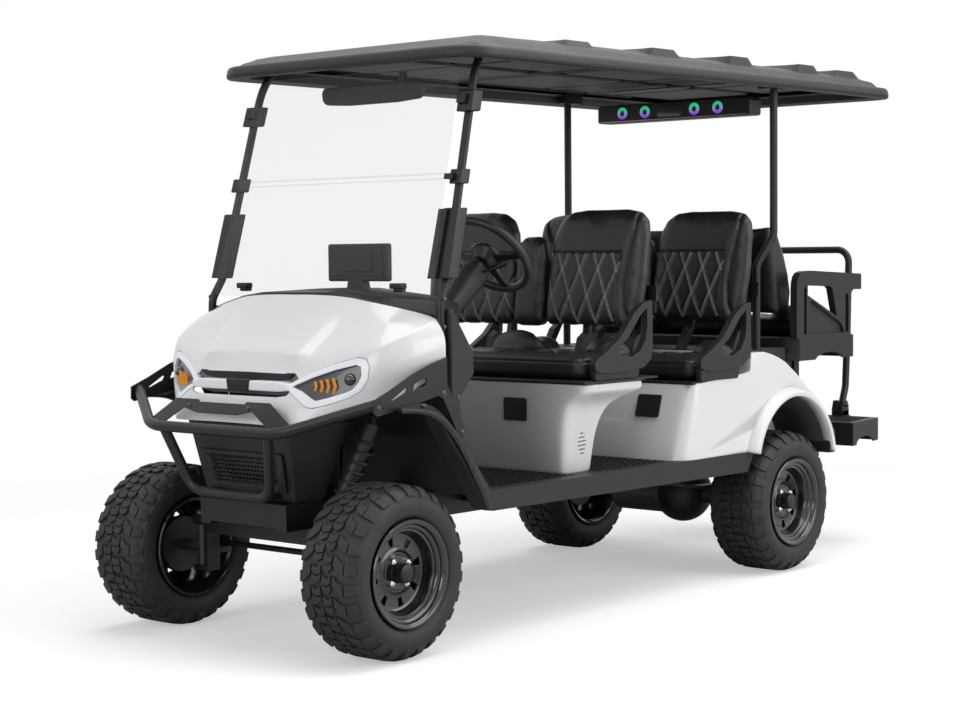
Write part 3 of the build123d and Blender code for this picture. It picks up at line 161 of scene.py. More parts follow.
# %% [markdown]
# Finishes. Each is a Principled shader with the values of the real surface on its own
# sockets, and a procedural pattern on Object coordinates for its grain: pebbled moulded
# plastic, sprayed pearl paint, powder coat, tyre rubber and stitched vinyl.

# %% Materials


def finish(name, colour, rough, grain=None, scale=400.0, depth=0.1, size=0.0006, vary=0.15, rough_vary=0.0,
           metallic=0.0, coat=0.0, coat_rough=0.05, specular=0.5, sheen=0.0, detail=3.0, patch=6.0):
    """A painted, moulded or coated surface: large faint patches in its colour and a fine grain."""
    made = bpy.data.materials.new(name)
    made.use_nodes = True
    tree = made.node_tree
    tree.nodes.clear()
    place = shader(tree, "ShaderNodeTexCoord", -900)
    patches = shader(tree, "ShaderNodeTexNoise", -700, 200, Vector=place.outputs["Object"], Scale=patch, Detail=4.0)
    low = tuple(c * (1 - vary) for c in colour) + (1,)
    high = tuple(min(1, c * (1 + vary)) for c in colour) + (1,)
    tint = shader(tree, "ShaderNodeMix", -400, 200, set_data_type="RGBA", i0=patches.outputs["Fac"], i6=low, i7=high)
    skin = shader(tree, "ShaderNodeBsdfPrincipled", 0, 0, Base_Color=tint.outputs[2], Roughness=rough,
                  Metallic=metallic, Coat_Weight=coat, Coat_Roughness=coat_rough, Specular_IOR_Level=specular,
                  Sheen_Weight=sheen)
    if rough_vary:
        spread = shader(tree, "ShaderNodeMapRange", -400, -100, Value=patches.outputs["Fac"], From_Min=0.3,
                        From_Max=0.7, To_Min=rough - rough_vary, To_Max=rough + rough_vary)
        tree.links.new(spread.outputs[0], skin.inputs["Roughness"])
    if grain:
        if grain == "pebble":
            fine = shader(tree, "ShaderNodeTexVoronoi", -700, -300, set_feature="SMOOTH_F1",
                          Vector=place.outputs["Object"], Scale=scale)
            height = fine.outputs["Distance"]
        else:
            fine = shader(tree, "ShaderNodeTexNoise", -700, -300, Vector=place.outputs["Object"], Scale=scale,
                          Detail=detail)
            height = fine.outputs["Fac"]
        bump = shader(tree, "ShaderNodeBump", -300, -300, Strength=depth, Distance=size, Height=height)
        tree.links.new(bump.outputs[0], skin.inputs["Normal"])
    shader(tree, "ShaderNodeOutputMaterial", 300, 0, Surface=skin.outputs[0])
    return made


pearl_white = finish("pearl_white_paint", (0.80, 0.81, 0.822), 0.32, "noise", 260, 0.05, 0.0004, vary=0.012,
                     coat=0.6, coat_rough=0.06, patch=2.0)
moulded_black = finish("moulded_black_plastic", (0.013, 0.0138, 0.0142), 0.50, "pebble", 620, 0.35, 0.0005, vary=0.25,
                       rough_vary=0.06, specular=0.4)
smooth_black = finish("satin_black_plastic", (0.009, 0.0093, 0.0096), 0.36, "noise", 500, 0.08, 0.0004, vary=0.2,
                      specular=0.4)
powder_black = finish("black_powder_coat", (0.008, 0.0083, 0.0086), 0.42, "noise", 900, 0.25, 0.0003, vary=0.2,
                      rough_vary=0.05, specular=0.4)
roof_black = finish("roof_black_grain", (0.014, 0.0145, 0.015), 0.50, "pebble", 450, 0.3, 0.0006, vary=0.2,
                    rough_vary=0.05, specular=0.45)
rim_black = finish("gloss_black_rim", (0.007, 0.007, 0.0075), 0.20, "noise", 300, 0.04, 0.0003, vary=0.2, coat=0.7)
tyre_rubber = finish("tyre_rubber", (0.015, 0.0155, 0.016), 0.62, "noise", 320, 0.35, 0.0007, vary=0.35,
                     rough_vary=0.1, detail=6, patch=14)
vinyl_black = finish("black_vinyl", (0.0125, 0.0128, 0.013), 0.42, "pebble", 520, 0.32, 0.0005, vary=0.2,
                     rough_vary=0.05, sheen=0.05)
thread_grey = finish("pale_thread", (0.62, 0.63, 0.64), 0.7, "noise", 2500, 0.6, 0.0003, vary=0.15)
chrome = finish("chrome_nut", (0.75, 0.76, 0.78), 0.12, "noise", 300, 0.03, 0.0002, vary=0.05, metallic=1.0)
zinc = finish("zinc_steel", (0.42, 0.43, 0.44), 0.35, "noise", 200, 0.2, 0.0003, vary=0.2, metallic=1.0)
dark_bolt = finish("dark_zinc_bolt", (0.11, 0.11, 0.115), 0.32, "noise", 300, 0.1, 0.0002, vary=0.2, metallic=0.8)
cast_grey = finish("cast_metal", (0.05, 0.05, 0.052), 0.5, "noise", 90, 0.5, 0.001, vary=0.4, metallic=0.6)
print(len(bpy.data.materials), "finishes so far")

# %% [markdown]
# Small helpers that every piece uses. Pieces start as a bmesh: a polygon that is
# extruded, a grid bent to control points, or a profile that is spun. Modifiers then
# round or thicken them, and are applied so that the mesh is final.

# %% Modelling helpers


def mm(x, y, z):
    """A place in millimetres from the front axle's middle, as the frame's metres."""
    return Vector((x / 1000, front_axle + y / 1000, z / 1000))


def settle(ob):
    """Applies an object's modifiers."""
    bpy.context.view_layer.update()
    final = bpy.data.meshes.new_from_object(ob.evaluated_get(bpy.context.evaluated_depsgraph_get()))
    ob.modifiers.clear()
    ob.data = final
    return ob


def smooth(ob, angle=35):
    """Smooth shading that stays sharp at edges over an angle."""
    for face in ob.data.polygons:
        face.use_smooth = True
    ob.data.set_sharp_from_angle(angle=math.radians(angle))
    return ob


def piece(name, shape, coat, body="chassis", stands_for=(), angle=35, turn_out=True):
    """Turns a bmesh into an object that rides on a body and may stand for CAD nodes."""
    if turn_out:
        bmesh.ops.recalc_face_normals(shape, faces=shape.faces[:])
    mesh = bpy.data.meshes.new(name)
    shape.to_mesh(mesh)
    shape.free()
    mesh.materials.append(coat)
    ob = bpy.data.objects.new(name, mesh)
    scene.collection.objects.link(ob)
    smooth(ob, angle)
    if body:
        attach(ob, body)
    if stands_for:
        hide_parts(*stands_for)
    return ob


def rounded(ob, width, segments=3, angle=30):
    """Rounds every edge sharper than an angle, and keeps the large faces flat in the shading."""
    bevel = ob.modifiers.new("round", "BEVEL")
    bevel.width, bevel.segments, bevel.limit_method = width, segments, "ANGLE"
    bevel.angle_limit = math.radians(angle)
    settle(ob)
    smooth(ob, 50)
    even = ob.modifiers.new("even", "WEIGHTED_NORMAL")
    even.keep_sharp, even.weight = True, 80
    return settle(ob)


def subdivided(ob, levels=2):
    """Catmull-Clark subdivision, applied."""
    step = ob.modifiers.new("subdivide", "SUBSURF")
    step.levels = step.render_levels = levels
    settle(ob)
    return smooth(ob, 40)


def thick(ob, width, offset=-1.0):
    """Gives a sheet a wall."""
    wall = ob.modifiers.new("wall", "SOLIDIFY")
    wall.thickness, wall.offset, wall.use_even_offset = width, offset, True
    return settle(ob)


def cut(ob, tool, how="DIFFERENCE", keep=False):
    """Cuts one solid with another and removes the cutter."""
    trim = ob.modifiers.new("cut", "BOOLEAN")
    trim.operation, trim.object, trim.solver = how, tool, "EXACT"
    settle(ob)
    if not keep:
        bpy.data.objects.remove(tool)
    return smooth(ob, 35)


def merge(target, *others):
    """Joins objects into one mesh that keeps every finish."""
    joined = bmesh.new()
    coats = []
    for ob in (target, *others):
        start = len(joined.faces)
        joined.from_mesh(ob.data)
        joined.faces.ensure_lookup_table()
        own = list(ob.data.materials)
        for face in joined.faces[start:]:
            coat = own[face.material_index]
            if coat not in coats:
                coats.append(coat)
            face.material_index = coats.index(coat)
    mesh = bpy.data.meshes.new(target.data.name)
    joined.to_mesh(mesh)
    joined.free()
    for coat in coats:
        mesh.materials.append(coat)
    target.data = mesh
    for ob in others:
        bpy.data.objects.remove(ob)
    return target


VIEWS = {"side": lambda u, v, w: mm(w, u, v), "front": lambda u, v, w: mm(u, w, v), "plan": lambda u, v,
         w: mm(u, v, w)}


def extruded(shape, corners, way):
    """Fills a loop of corners with a face and extrudes it along a vector."""
    grown = bmesh.ops.extrude_face_region(shape, geom=[shape.faces.new(corners)])
    bmesh.ops.translate(shape, vec=way, verts=[g for g in grown["geom"] if isinstance(g, bmesh.types.BMVert)])
    return shape


def slab(view, points, low, high, shape=None):
    """A polygon in side, front or plan view, extruded between two distances."""
    shape = shape or bmesh.new()
    corners = [shape.verts.new(VIEWS[view](u, v, low)) for u, v in points]
    return extruded(shape, corners, VIEWS[view](0, 0, high) - VIEWS[view](0, 0, low))


def side_slabs(points, near, far, shape=None):
    """A side-view polygon extruded on the left and, as its mirror image, on the right."""
    shape = shape or bmesh.new()
    for side in (1, -1):
        slab("side", points, side * near, side * far, shape)
    return shape


def tool(shape):
    """A cutter from a bmesh."""
    return piece("cutter", shape, pearl_white, body=None)


def carve(ob, view, outline, low, high):
    """Cuts a prism out of a piece."""
    return cut(ob, tool(slab(view, outline, low, high)))


def both(points):
    """A front-view outline from its left half, from top to bottom."""
    return list(points) + [(-x, z) for x, z in reversed(points) if x > 0]


def flip(shape):
    """Adds the mirror image across the cart's middle."""
    bmesh.ops.mirror(shape, geom=shape.verts[:] + shape.edges[:] + shape.faces[:], axis="X", merge_dist=1e-5)
    return shape


def bent_grid(rows, creases=(), mirrored=True):
    """A grid moved to rows of control points, with some of its lines creased."""
    shape = bmesh.new()
    bmesh.ops.create_grid(shape, x_segments=len(rows[0]) - 1, y_segments=len(rows) - 1, size=1)
    order = sorted(shape.verts, key=lambda v: (round(v.co.y, 4), round(v.co.x, 4)))
    at = {}
    for n, v in enumerate(order):
        r, c = divmod(n, len(rows[0]))
        v.co = mm(*rows[r][c])
        at[r, c] = v
    sharp = shape.edges.layers.float.new("crease_edge")
    for path, strength in creases:
        for a, b in zip(path, path[1:]):
            shape.edges.get((at[a], at[b]))[sharp] = strength
    return flip(shape) if mirrored else shape


def spun(profile, side, axle, steps=96, shape=None):
    """A wheel part: (outboard, radius) points in millimetres, spun round an axle."""
    shape = shape or bmesh.new()
    ring = [shape.verts.new((side * (wheel_x + out / 1000), axle, wheel_z + radius / 1000)) for out,
            radius in profile]
    line = [shape.edges.new(pair) for pair in zip(ring, ring[1:])]
    bmesh.ops.spin(shape, geom=ring + line, cent=(0, axle, wheel_z), axis=(1, 0, 0), angle=2 * math.pi,
                   steps=steps, use_merge=True)
    bmesh.ops.remove_doubles(shape, verts=shape.verts[:], dist=1e-6)
    return shape


print("piece helpers ready")

# %% [markdown]
# Three more helpers make skins and tubes: rings of places joined one to the next, a
# smooth curve through a few places, and a round tube that bends at its corners.

# %% Skins, tubes and bolts


def skin_rings(shape, rings, capped=True):
    """Joins rings of places, each with as many points, into one closed or open skin."""
    made = [[shape.verts.new(at) for at in ring] for ring in rings]
    for lower, upper in zip(made, made[1:]):
        for n in range(len(lower)):
            shape.faces.new((lower[n - 1], lower[n], upper[n], upper[n - 1]))
    if capped:
        shape.faces.new(made[0][::-1])
        shape.faces.new(made[-1])
    return shape


def curve(points, steps=6):
    """A smooth line through points: a Catmull-Rom curve."""
    ends = [points[0], *points, points[-1]]
    line = []
    for a, b, c, d in zip(ends, ends[1:], ends[2:], ends[3:]):
        for n in range(steps):
            t = n / steps
            line.append(tuple(q + t * ((r - p) + t * ((2 * p - 5 * q + 4 * r - s) + t * (3 * q - p - 3 * r + s))) / 2
                              for p, q, r, s in ((a[k], b[k], c[k], d[k]) for k in range(len(a)))))
    return line + [tuple(points[-1])]


def pipe(shape, points, radius, bend=0.0, sides=16, steps=8):
    """A round tube along points in millimetres; each corner bends over a length on both sides."""
    places = [mm(*at) for at in points]
    line = places[:1]
    for a, b, c in zip(places, places[1:], places[2:]):
        into, out = (a - b).normalized() * bend / 1000, (c - b).normalized() * bend / 1000
        bent = [b + into * (1 - t / steps) ** 2 + out * (t / steps) ** 2 for t in range(steps + 1)]
        line += bent if bend else [b]
    line.append(places[-1])
    rings, beside = [], (line[1] - line[0]).orthogonal()
    for n, at in enumerate(line):
        way = (line[min(n + 1, len(line) - 1)] - line[max(n - 1, 0)]).normalized()
        beside = (beside - way * beside.dot(way)).normalized()
        over = way.cross(beside)
        spokes = [beside * math.cos(k * math.tau / sides) + over * math.sin(k * math.tau / sides) for k in range(sides)]
        rings.append([at + spoke * radius / 1000 for spoke in spokes])
    return skin_rings(shape, rings)


def bolts(name, places, toward, radius=9.0, height=5.0, coat=None, body="chassis"):
    """Button heads that stand out toward a direction; X is mirrored by each place's own side."""
    shape = bmesh.new()
    for x, y, z in places:
        out = Vector((math.copysign(toward[0], x), toward[1], toward[2])).normalized()
        spot = Matrix.Translation(mm(x, y, z)) @ out.to_track_quat("Z", "Y").to_matrix().to_4x4()
        for low, high, wide, narrow in ((0, 1.5, 1.25, 1.2), (1.5, height, 1.0, 0.62)):
            bmesh.ops.create_cone(shape, cap_ends=True, segments=20, radius1=radius * wide / 1000,
                                  radius2=radius * narrow / 1000,
                                  depth=(high - low) / 1000,
                                  matrix=spot @ Matrix.Translation((0, 0, (low + high) / 2000)))
    return piece(name, shape, coat or dark_bolt, body)


def mirrored_sides(points):
    """The same places on the left and on the right."""
    return list(points) + [(-x, y, z) for x, y, z in points]


print("tube, curve and bolt helpers ready")

# %% [markdown]
# The nose. The real cart has one white moulded cowl: a raised plateau in the middle with a
# sharp front break, soft shoulders beside it, and side faces that run back to the struts.
# A grid of control points with creased lines is subdivided into that skin, and the lamps
# and the slot of the light bar are cut out of it with plain prisms.

# %% Nose skin
nose_rows = [
    [(0, -196, 772), (100, -196, 772), (200, -194, 770), (284, -186, 770), (345, -138, 780), (430, -58, 794),
     (515, 12, 824), (580, 110, 886), (602, 236, 952)],
    [(0, -176, 850), (100, -176, 850), (190, -172, 848), (262, -162, 842), (345, -136, 828), (440, -58, 856),
     (525, 18, 872), (584, 115, 930), (603, 236, 985)],
    [(0, -148, 897), (100, -148, 897), (190, -145, 897), (240, -134, 897), (340, -100, 892), (468, -34, 905),
     (545, 22, 935), (590, 120, 978), (604, 236, 1028)],
    [(0, -112, 944), (110, -111, 944), (215, -105, 944), (277, -92, 944), (355, -72, 952), (484, -20, 960),
     (550, 28, 986), (590, 122, 1022), (600, 236, 1066)],
    [(0, -80, 1009), (120, -83, 1008), (216, -90, 1004), (262, -72, 990), (350, -50, 990), (464, -20, 1003),
     (530, 30, 1036), (572, 125, 1076), (566, 232, 1116)],
    [(0, -22, 1060), (130, -24, 1058), (226, -30, 1050), (266, -22, 1032), (345, -4, 1034), (440, 18, 1048),
     (502, 62, 1076), (545, 140, 1104), (558, 230, 1120)],
    [(0, 48, 1130), (140, 50, 1128), (238, 56, 1119), (280, 64, 1100), (350, 78, 1102), (430, 98, 1108),
     (490, 128, 1119), (530, 172, 1124), (552, 229, 1122)],
    [(0, 116, 1199), (150, 119, 1197), (262, 128, 1190), (302, 138, 1181), (365, 152, 1170), (432, 170, 1157),
     (486, 192, 1144), (522, 210, 1134), (548, 228, 1124)],
]
nose_creases = [
    ([(4, c) for c in range(0, 4)], 0.75), ([(4, c) for c in range(5, 9)], 0.55),
    ([(r, 2) for r in range(4, 7)], 0.35), ([(r, 3) for r in range(4, 7)], 0.35),
    ([(1, c) for c in range(0, 5)], 0.6), ([(r, 3) for r in range(0, 2)], 0.8), ([(r, 4) for r in range(0, 2)], 0.5),
    ([(0, c) for c in range(0, 9)], 1.0), ([(7, c) for c in range(0, 9)], 1.0), ([(r, 8) for r in range(0, 8)], 1.0),
]
# lamp outlines in front view: the opening, and the dark lens inside its light guide
lamp_rim = [(214, 897), (252, 921), (300, 948), (372, 976), (446, 997), (476, 992), (490, 965), (488, 925),
            (468, 884), (436, 862), (388, 842), (338, 828), (318, 832), (262, 868)]
lens_rim = [(240, 897), (304, 928), (376, 954), (444, 972), (462, 966), (468, 938), (460, 912), (444, 890),
            (420, 878), (380, 864), (338, 852), (326, 856), (280, 882)]


def nose_skin(name, coat, wall, sink=0.0, levels=3, **links):
    """The nose's surface as a wall, sunk behind the skin by a distance."""
    skin = piece(name, bent_grid(nose_rows, nose_creases), coat, **links)
    subdivided(skin, levels)
    if sink:
        shape = bmesh.new()
        shape.from_mesh(skin.data)
        shape.normal_update()
        for v in shape.verts:
            v.co -= v.normal * sink
        shape.to_mesh(skin.data)
        shape.free()
    return thick(skin, wall)


cowl = nose_skin("nose_cowl", pearl_white, 0.007, stands_for=["front_cowl"])
for side in (1, -1):
    carve(cowl, "front", [(side * x, z) for x, z in lamp_rim], -320, 60)
slot_outline = both([(0, 940), (238, 938), (262, 918), (236, 868), (196, 862)])
carve(cowl, "front", slot_outline, -320, -60)
rounded(cowl, 0.0022, 2, 40)
print("nose cowl", len(cowl.data.polygons), "faces")

# %% [markdown]
# Each headlamp has a wide white light guide round a smoky lens, with four slanted amber
# lines and a dark projector behind it. A white bar joins the two lamps under the lip, in
# a dark recess, and a bare black block sits in its middle.

# %% Lamps


def glowing(name, colour, strength, rough=0.25):
    """A light guide: a pale plastic that also gives a little light."""
    made = finish(name, colour, rough, "noise", 900, 0.05, 0.0002, vary=0.02)
    skin = next(n for n in made.node_tree.nodes if n.type == "BSDF_PRINCIPLED")
    skin.inputs["Emission Color"].default_value = (*colour, 1)
    skin.inputs["Emission Strength"].default_value = strength
    return made


guide_white = glowing("white_light_guide", (0.84, 0.86, 0.90), 0.10)
amber = glowing("amber_light_line", (0.80, 0.30, 0.02), 0.12)
smoky = finish("smoky_lens", (0.045, 0.047, 0.05), 0.3, "noise", 40, 0.02, 0.0005, vary=0.6, coat=0.5,
               coat_rough=0.04, patch=14)
recess_grey = finish("grey_satin_recess", (0.16, 0.165, 0.17), 0.4, "noise", 600, 0.1, 0.0003, vary=0.05)
guides = nose_skin("lamp_guides", guide_white, 0.016, sink=-0.002, stands_for=["headlamps"])
lenses = nose_skin("lamp_lenses", smoky, 0.006, sink=0.009)
outer_tools, inner_tools = [], []
for side in (1, -1):
    shrink = [(side * (352 + (x - 352) * 0.975), 911 + (z - 911) * 0.97) for x, z in lamp_rim]
    outer_tools.append(tool(slab("front", shrink, -330, 60)))
    inner_tools.append(tool(slab("front", [(side * x, z) for x, z in lens_rim], -340, 70)))
cut(guides, merge(*outer_tools), "INTERSECT")
holes = merge(*inner_tools)
cut(guides, holes, "DIFFERENCE", keep=True)
cut(lenses, holes, "INTERSECT")
rounded(guides, 0.003, 3, 40)


def skin_y(x, z):
    """How far forward the nose's skin is at a place in front view, in metres."""
    hit, where, *_ = lenses_probe.ray_cast(Vector((x / 1000, front_axle - 0.4, z / 1000)), Vector((0, 1, 0)))
    return where.y if hit else front_axle - 0.1


lenses_probe = nose_skin("probe", smoky, 0.002, sink=0.0, body=None)
marks = bmesh.new()
for side in (1, -1):
    for n in range(4):
        x0, tall = 316 + n * 20, 16 + n * 4
        for up in (1, -1):
            line = [(x0 + tall * 0.4, 900), (x0 + 9 + tall * 0.4, 900), (x0 + 9, 900 + up * tall),
                    (x0, 900 + up * tall)]
            near = (skin_y(side * x0, 900) - front_axle) * 1000
            slab("front", [(side * x, z) for x, z in line], near + 4, near + 9, marks)
piece("lamp_amber_lines", marks, amber)
balls = bmesh.new()
for side in (1, -1):
    near = skin_y(side * 424, 922)
    bmesh.ops.create_uvsphere(balls, u_segments=24, v_segments=12, radius=0.021,
                              matrix=Matrix.Translation((side * 0.424, near + 0.014, 0.922)))
piece("lamp_projectors", balls, finish("projector_glass", (0.01, 0.011, 0.013), 0.05, "noise", 50, 0.02, 0.0002,
                                       coat=1.0))
bpy.data.objects.remove(lenses_probe)

piece("nose_recess", slab("front", both([(0, 942), (240, 940), (262, 916), (236, 870), (192, 864)]), -98, -84),
      recess_grey)
# painted shade: a black strip fills the slot above the light bar, where the lip shades it
lip_shade_strip = piece("nose_painted_lip_shade", slab("front", both([(0, 943), (236, 941), (205, 921), (150, 915)]), -112, -97),
                smooth_black)
rounded(lip_shade_strip, 0.002)
bar = piece("nose_light_bar", slab("front", both([(0, 913), (196, 913), (238, 906), (240, 884), (190, 879)]), -150,
                                   -99), guide_white)
rounded(bar, 0.006)
badge = piece("nose_blank_badge", slab("front", both([(0, 917), (56, 917), (50, 876)]), -157, -98), smooth_black)
rounded(badge, 0.004)
seal = piece("hood_black_seal",
             bent_grid([[(x, y + dy, z + dz) for x, y, z in nose_rows[7]] for dy,
                        dz in ((-2, -4), (3, 5), (14, 7), (20, -30))],
             [([(n, c) for c in range(9)], 0.5) for n in (1, 2)]), smooth_black)
subdivided(seal, 2)
thick(seal, 0.003)
print("lamps, light bar and hood seal made")

# %% [markdown]
# A wheel is a spun tyre with a chunky zigzag tread and a deep steel rim. The tread is laid
# out flat in one pitch, as strips that run outwards across the tyre, and a loop wraps the
# 26 pitches round. Real moulds repeat a pitch in just this way.

# %% Tyre tread
tyre_radius, tread_depth, pitches = 292.0, 9.0, 26
pitch = 2 * math.pi * tyre_radius / pitches
crown_line = [(0, 292), (72, 291.5), (88, 289), (100, 284), (110, 276), (118, 266), (124, 255), (127, 246)]


def along(line, t):
    """A value read from a list of (place, value) points."""
    for (a, va), (b, vb) in zip(line, line[1:]):
        if t <= b:
            return va + (vb - va) * (max(t, a) - a) / (b - a)
    return line[-1][1]


# one side of a pitch: rows of (outboard, from, to) round the tyre, in millimetres
centre_lug = [(3, 6, 24), (14, 2, 23), (26, -4, 20), (38, 4, 27), (43, 8, 28)]
centre_mate = [(3, 28, 58), (14, 27, 54), (26, 24, 48), (38, 31, 56), (43, 33, 60)]
arm = [(49, 24, 58), (58, 16, 54), (68, 6, 44), (80, -2, 36), (92, -6, 33)]
shoulder_long = [(96, -7, 33), (104, -7, 32), (112, -6, 31), (119, -5, 30), (124, -4, 28), (127, -3, 27)]
shoulder_short = [(96, -7, 33), (104, -7, 33), (112, -6, 32), (119, -5, 31), (122, -5, 30)]


def tread_block(shape, rows, start, outward, side, axle):
    """A block whose top follows the crown line; its flat grid is extruded towards the axle."""
    made = bmesh.ops.create_grid(shape, x_segments=len(rows) - 1, y_segments=1, size=1)["verts"]
    order = sorted(made, key=lambda v: (round(v.co.x, 4), round(v.co.y, 4)))

    def put(v, n, drop):
        out, low, high = rows[n // 2]
        angle = (start + (high if n % 2 else low)) / tyre_radius
        radius = (along(crown_line, out) - drop) / 1000
        lean = drop * 0.35 if out > 95 else 0
        v.co = Vector((side * (wheel_x + outward * (out - lean) / 1000), axle + radius * math.sin(angle),
                       wheel_z + radius * math.cos(angle)))

    faces = list({f for v in made for f in v.link_faces})
    grown = bmesh.ops.extrude_face_region(shape, geom=faces, use_keep_orig=True)
    base = [g for g in grown["geom"] if isinstance(g, bmesh.types.BMVert)]
    base.sort(key=lambda v: (round(v.co.x, 4), round(v.co.y, 4)))
    for n, v in enumerate(order):
        put(v, n, 0.0)
    for n, v in enumerate(base):
        put(v, n, tread_depth + 1.5)


print(pitches, "tread pitches of", round(pitch), "mm each")

# %% [markdown]
# The sidewall and the rim are each one line, spun round the axle. The rim's slots are cut
# with eight tapered wedges, and a cap and four nuts close the hub.

# %% Wheels

wall = [(127, 244), (130, 234), (131, 222), (130, 208), (126.5, 196), (125.5, 193.5), (124, 193.5), (122, 190),
        (117, 184), (111, 180), (104, 174), (101, 160)]
carcass = [(0, 283), (72, 282.5), (88, 280), (99, 275.5), (108, 268), (115, 259), (121, 252), (124.5, 250.5),
           (125, 247.5)] + wall
rim_line = [
    (67, 30), (67, 57), (64, 61), (64, 66), (58, 73), (56, 84), (56, 121), (59, 128), (70, 133.5), (96, 137),
            (99.5, 140),
    (100, 147), (108, 149.5), (111, 153), (112, 160), (121, 162.5), (126.5, 167), (129.5, 173), (129.5, 179),
            (126, 181),
    (121, 179), (117, 172), (113, 163), (100, 154), (-100, 154), (-113, 163), (-118, 174), (-122, 180), (-127, 180),
    (-130, 175), (-127, 167), (-112, 156), (-98, 145), (40, 141), (49, 134), (50, 84), (52, 73), (58, 60), (58, 30),
            (67, 30)]


def wheel(name, side, axle):
    """Tyre, rim, cap and nuts of one wheel."""
    round_line = [(-out, r) for out, r in reversed(carcass[1:])] + carcass
    body = f"wheel_{name}"
    tyre = piece(f"{name}_tyre", spun(round_line, side, axle, 104), tyre_rubber, body)
    tread = bmesh.new()
    for n in range(pitches):
        for outward in (1, -1):
            start = n * pitch + (pitch * 0.46 if outward < 0 else 0)
            for rows in (centre_lug, centre_mate, arm, shoulder_long if n % 2 else shoulder_short):
                tread_block(tread, rows, start, outward, side, axle)
    blocks = piece(f"{name}_tread", tread, tyre_rubber, None, angle=30)
    rounded(blocks, 0.0014, 1, 40)
    merge(tyre, blocks)
    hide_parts(f"tyre_{name}")
    rim = piece(f"{name}_rim", spun(rim_line, side, axle, 96), rim_black, body)
    slots = bmesh.new()
    for n in range(8):
        turn = Matrix.Rotation(math.radians(45 * n + 12), 3, "X")
        near = []
        for across_slot, radius in ((-8, 87), (8, 87), (13, 118), (-13, 118)):
            near.append(slots.verts.new(Vector((side * 0.56, axle, wheel_z)) + turn @ Vector((0, across_slot / 1000,
                    radius / 1000))))
        extruded(slots, near, (side * 0.05, 0, 0))
    cut(rim, tool(slots))
    cap = spun([(58, 36), (70, 35.5), (72, 33.5), (104, 32), (109, 30), (112, 25), (112, 0.01)], side, axle, 40)
    cap = piece(f"{name}_cap", cap, smooth_black, body)
    nuts = bmesh.new()
    for n in range(4):
        turn = Matrix.Rotation(math.radians(90 * n + 38), 4, "X")
        for near, far, r1, r2, count in ((60, 80, 12, 11, 6), (80, 86, 9.5, 4, 16), (60, 64, 15, 14, 20)):
            hub = Matrix.Translation((side * (wheel_x + (near + far) / 2000), axle, wheel_z))
            place = hub @ turn @ Matrix.Translation((0, 0, 0.050)) @ Matrix.Rotation(side * math.pi / 2, 4, "Y")
            bmesh.ops.create_cone(nuts, cap_ends=True, segments=count, radius1=r1 / 1000, radius2=r2 / 1000,
                                  depth=(far - near) / 1000, matrix=place)
    nuts = piece(f"{name}_nuts", nuts, chrome, None, angle=25)
    merge(rim, nuts)
    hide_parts(f"rim_{name}")
    return len(tyre.data.polygons)


for end, axle in (("front", front_axle), ("rear", rear_axle)):
    for way, side in (("left", 1), ("right", -1)):
        count = wheel(f"{end}_{way}", side, axle)
print("4 wheels,", count, "faces in a tyre")

# %% [markdown]
# The canopy is one rotomoulded sheet: a rolled lip with rounded corners, a shallow gutter
# inside it and a crowned deck with five raised cross ribs. The lip is a chain of rounded
# rectangles that are bridged, and the deck is a grid raised by a height formula.

# %% Roof
roof_front, roof_rear, roof_half, roof_crown = 330.0, 3236.0, 650.0, 2118.0
roof_ribs = [(1012, 1149, 14), (1554, 1693, 5), (2095, 2218, 0), (2617, 2730, 0), (2927, 3060, 6)]
side_line = [(-5, 2040), (70, 2046), (130, 2074), (200, 2090), (700, 2102), (1200, 2109), (1800, 2118), (2650, 2118),
             (2770, 2090), (2860, 2045), (2911, 2040)]
front_line = [(0, 2118), (300, 2112), (450, 2105), (525, 2086), (560, 2072), (585, 2052), (600, 2043), (650, 2040)]


def roof_height(x, y):
    """The deck's height at a place, in millimetres."""
    height = min(along(front_line, abs(x)), along(side_line, y - roof_front))
    for rib_front, rib_rear, drop in roof_ribs:
        flank = min((y - rib_front + 12) / 12, (rib_rear + 26 - y) / 26, (528 - abs(x)) / 16)
        height += max(0, min(1, flank)) * max(0, roof_crown + 17 - drop - 13 * min(1, abs(x) / 450) - height)
    return height


def rounded_loop(shape, inset, height, corner=140.0, arc=10):
    """The edges of a rounded rectangle inside the roof's outline."""
    half, near, far, r = roof_half - inset, roof_front + inset, roof_rear - inset, max(corner - inset, 12)
    ring = []
    for cx, cy, first in ((half - r, far - r, 0), (r - half, far - r, 90), (r - half, near + r, 180),
                          (half - r, near + r, 270)):
        for n in range(arc + 1):
            angle = math.radians(first + 90 * n / arc)
            ring.append(shape.verts.new(mm(cx + r * math.cos(angle), cy + r * math.sin(angle), height)))
    return [shape.edges.new(pair) for pair in zip(ring, ring[1:] + ring[:1])]


lip = bmesh.new()
lip_line = [(150, 2034), (92, 2030), (84, 2004), (78, 2001), (46, 2001), (40, 1998), (6, 1997), (1, 2002), (0, 2012),
            (4, 2030), (11, 2039), (20, 2042), (30, 2041), (37, 2036), (50, 2036), (58, 2041), (66, 2043)]
loops = [rounded_loop(lip, inset, height) for inset, height in lip_line]
for lower, upper in zip(loops, loops[1:]):
    bmesh.ops.bridge_loops(lip, edges=lower + upper)
roof_lip = piece("roof_lip", lip, roof_black, stands_for=["roof"], angle=50)
deck = bmesh.new()
across_steps = [0, 80, 160, 240, 320, 400, 450, 480, 500, 512, 528, 545, 560, 575, 590, 602]
along_steps = sorted({round(y) for rib in roof_ribs
                      for y in (rib[0] - 12, rib[0], rib[1], rib[1] + 26)} | set(range(385, 3182, 43)))
columns = [-x for x in across_steps[:0:-1]] + across_steps
bmesh.ops.create_grid(deck, x_segments=len(columns) - 1, y_segments=len(along_steps) - 1, size=1)
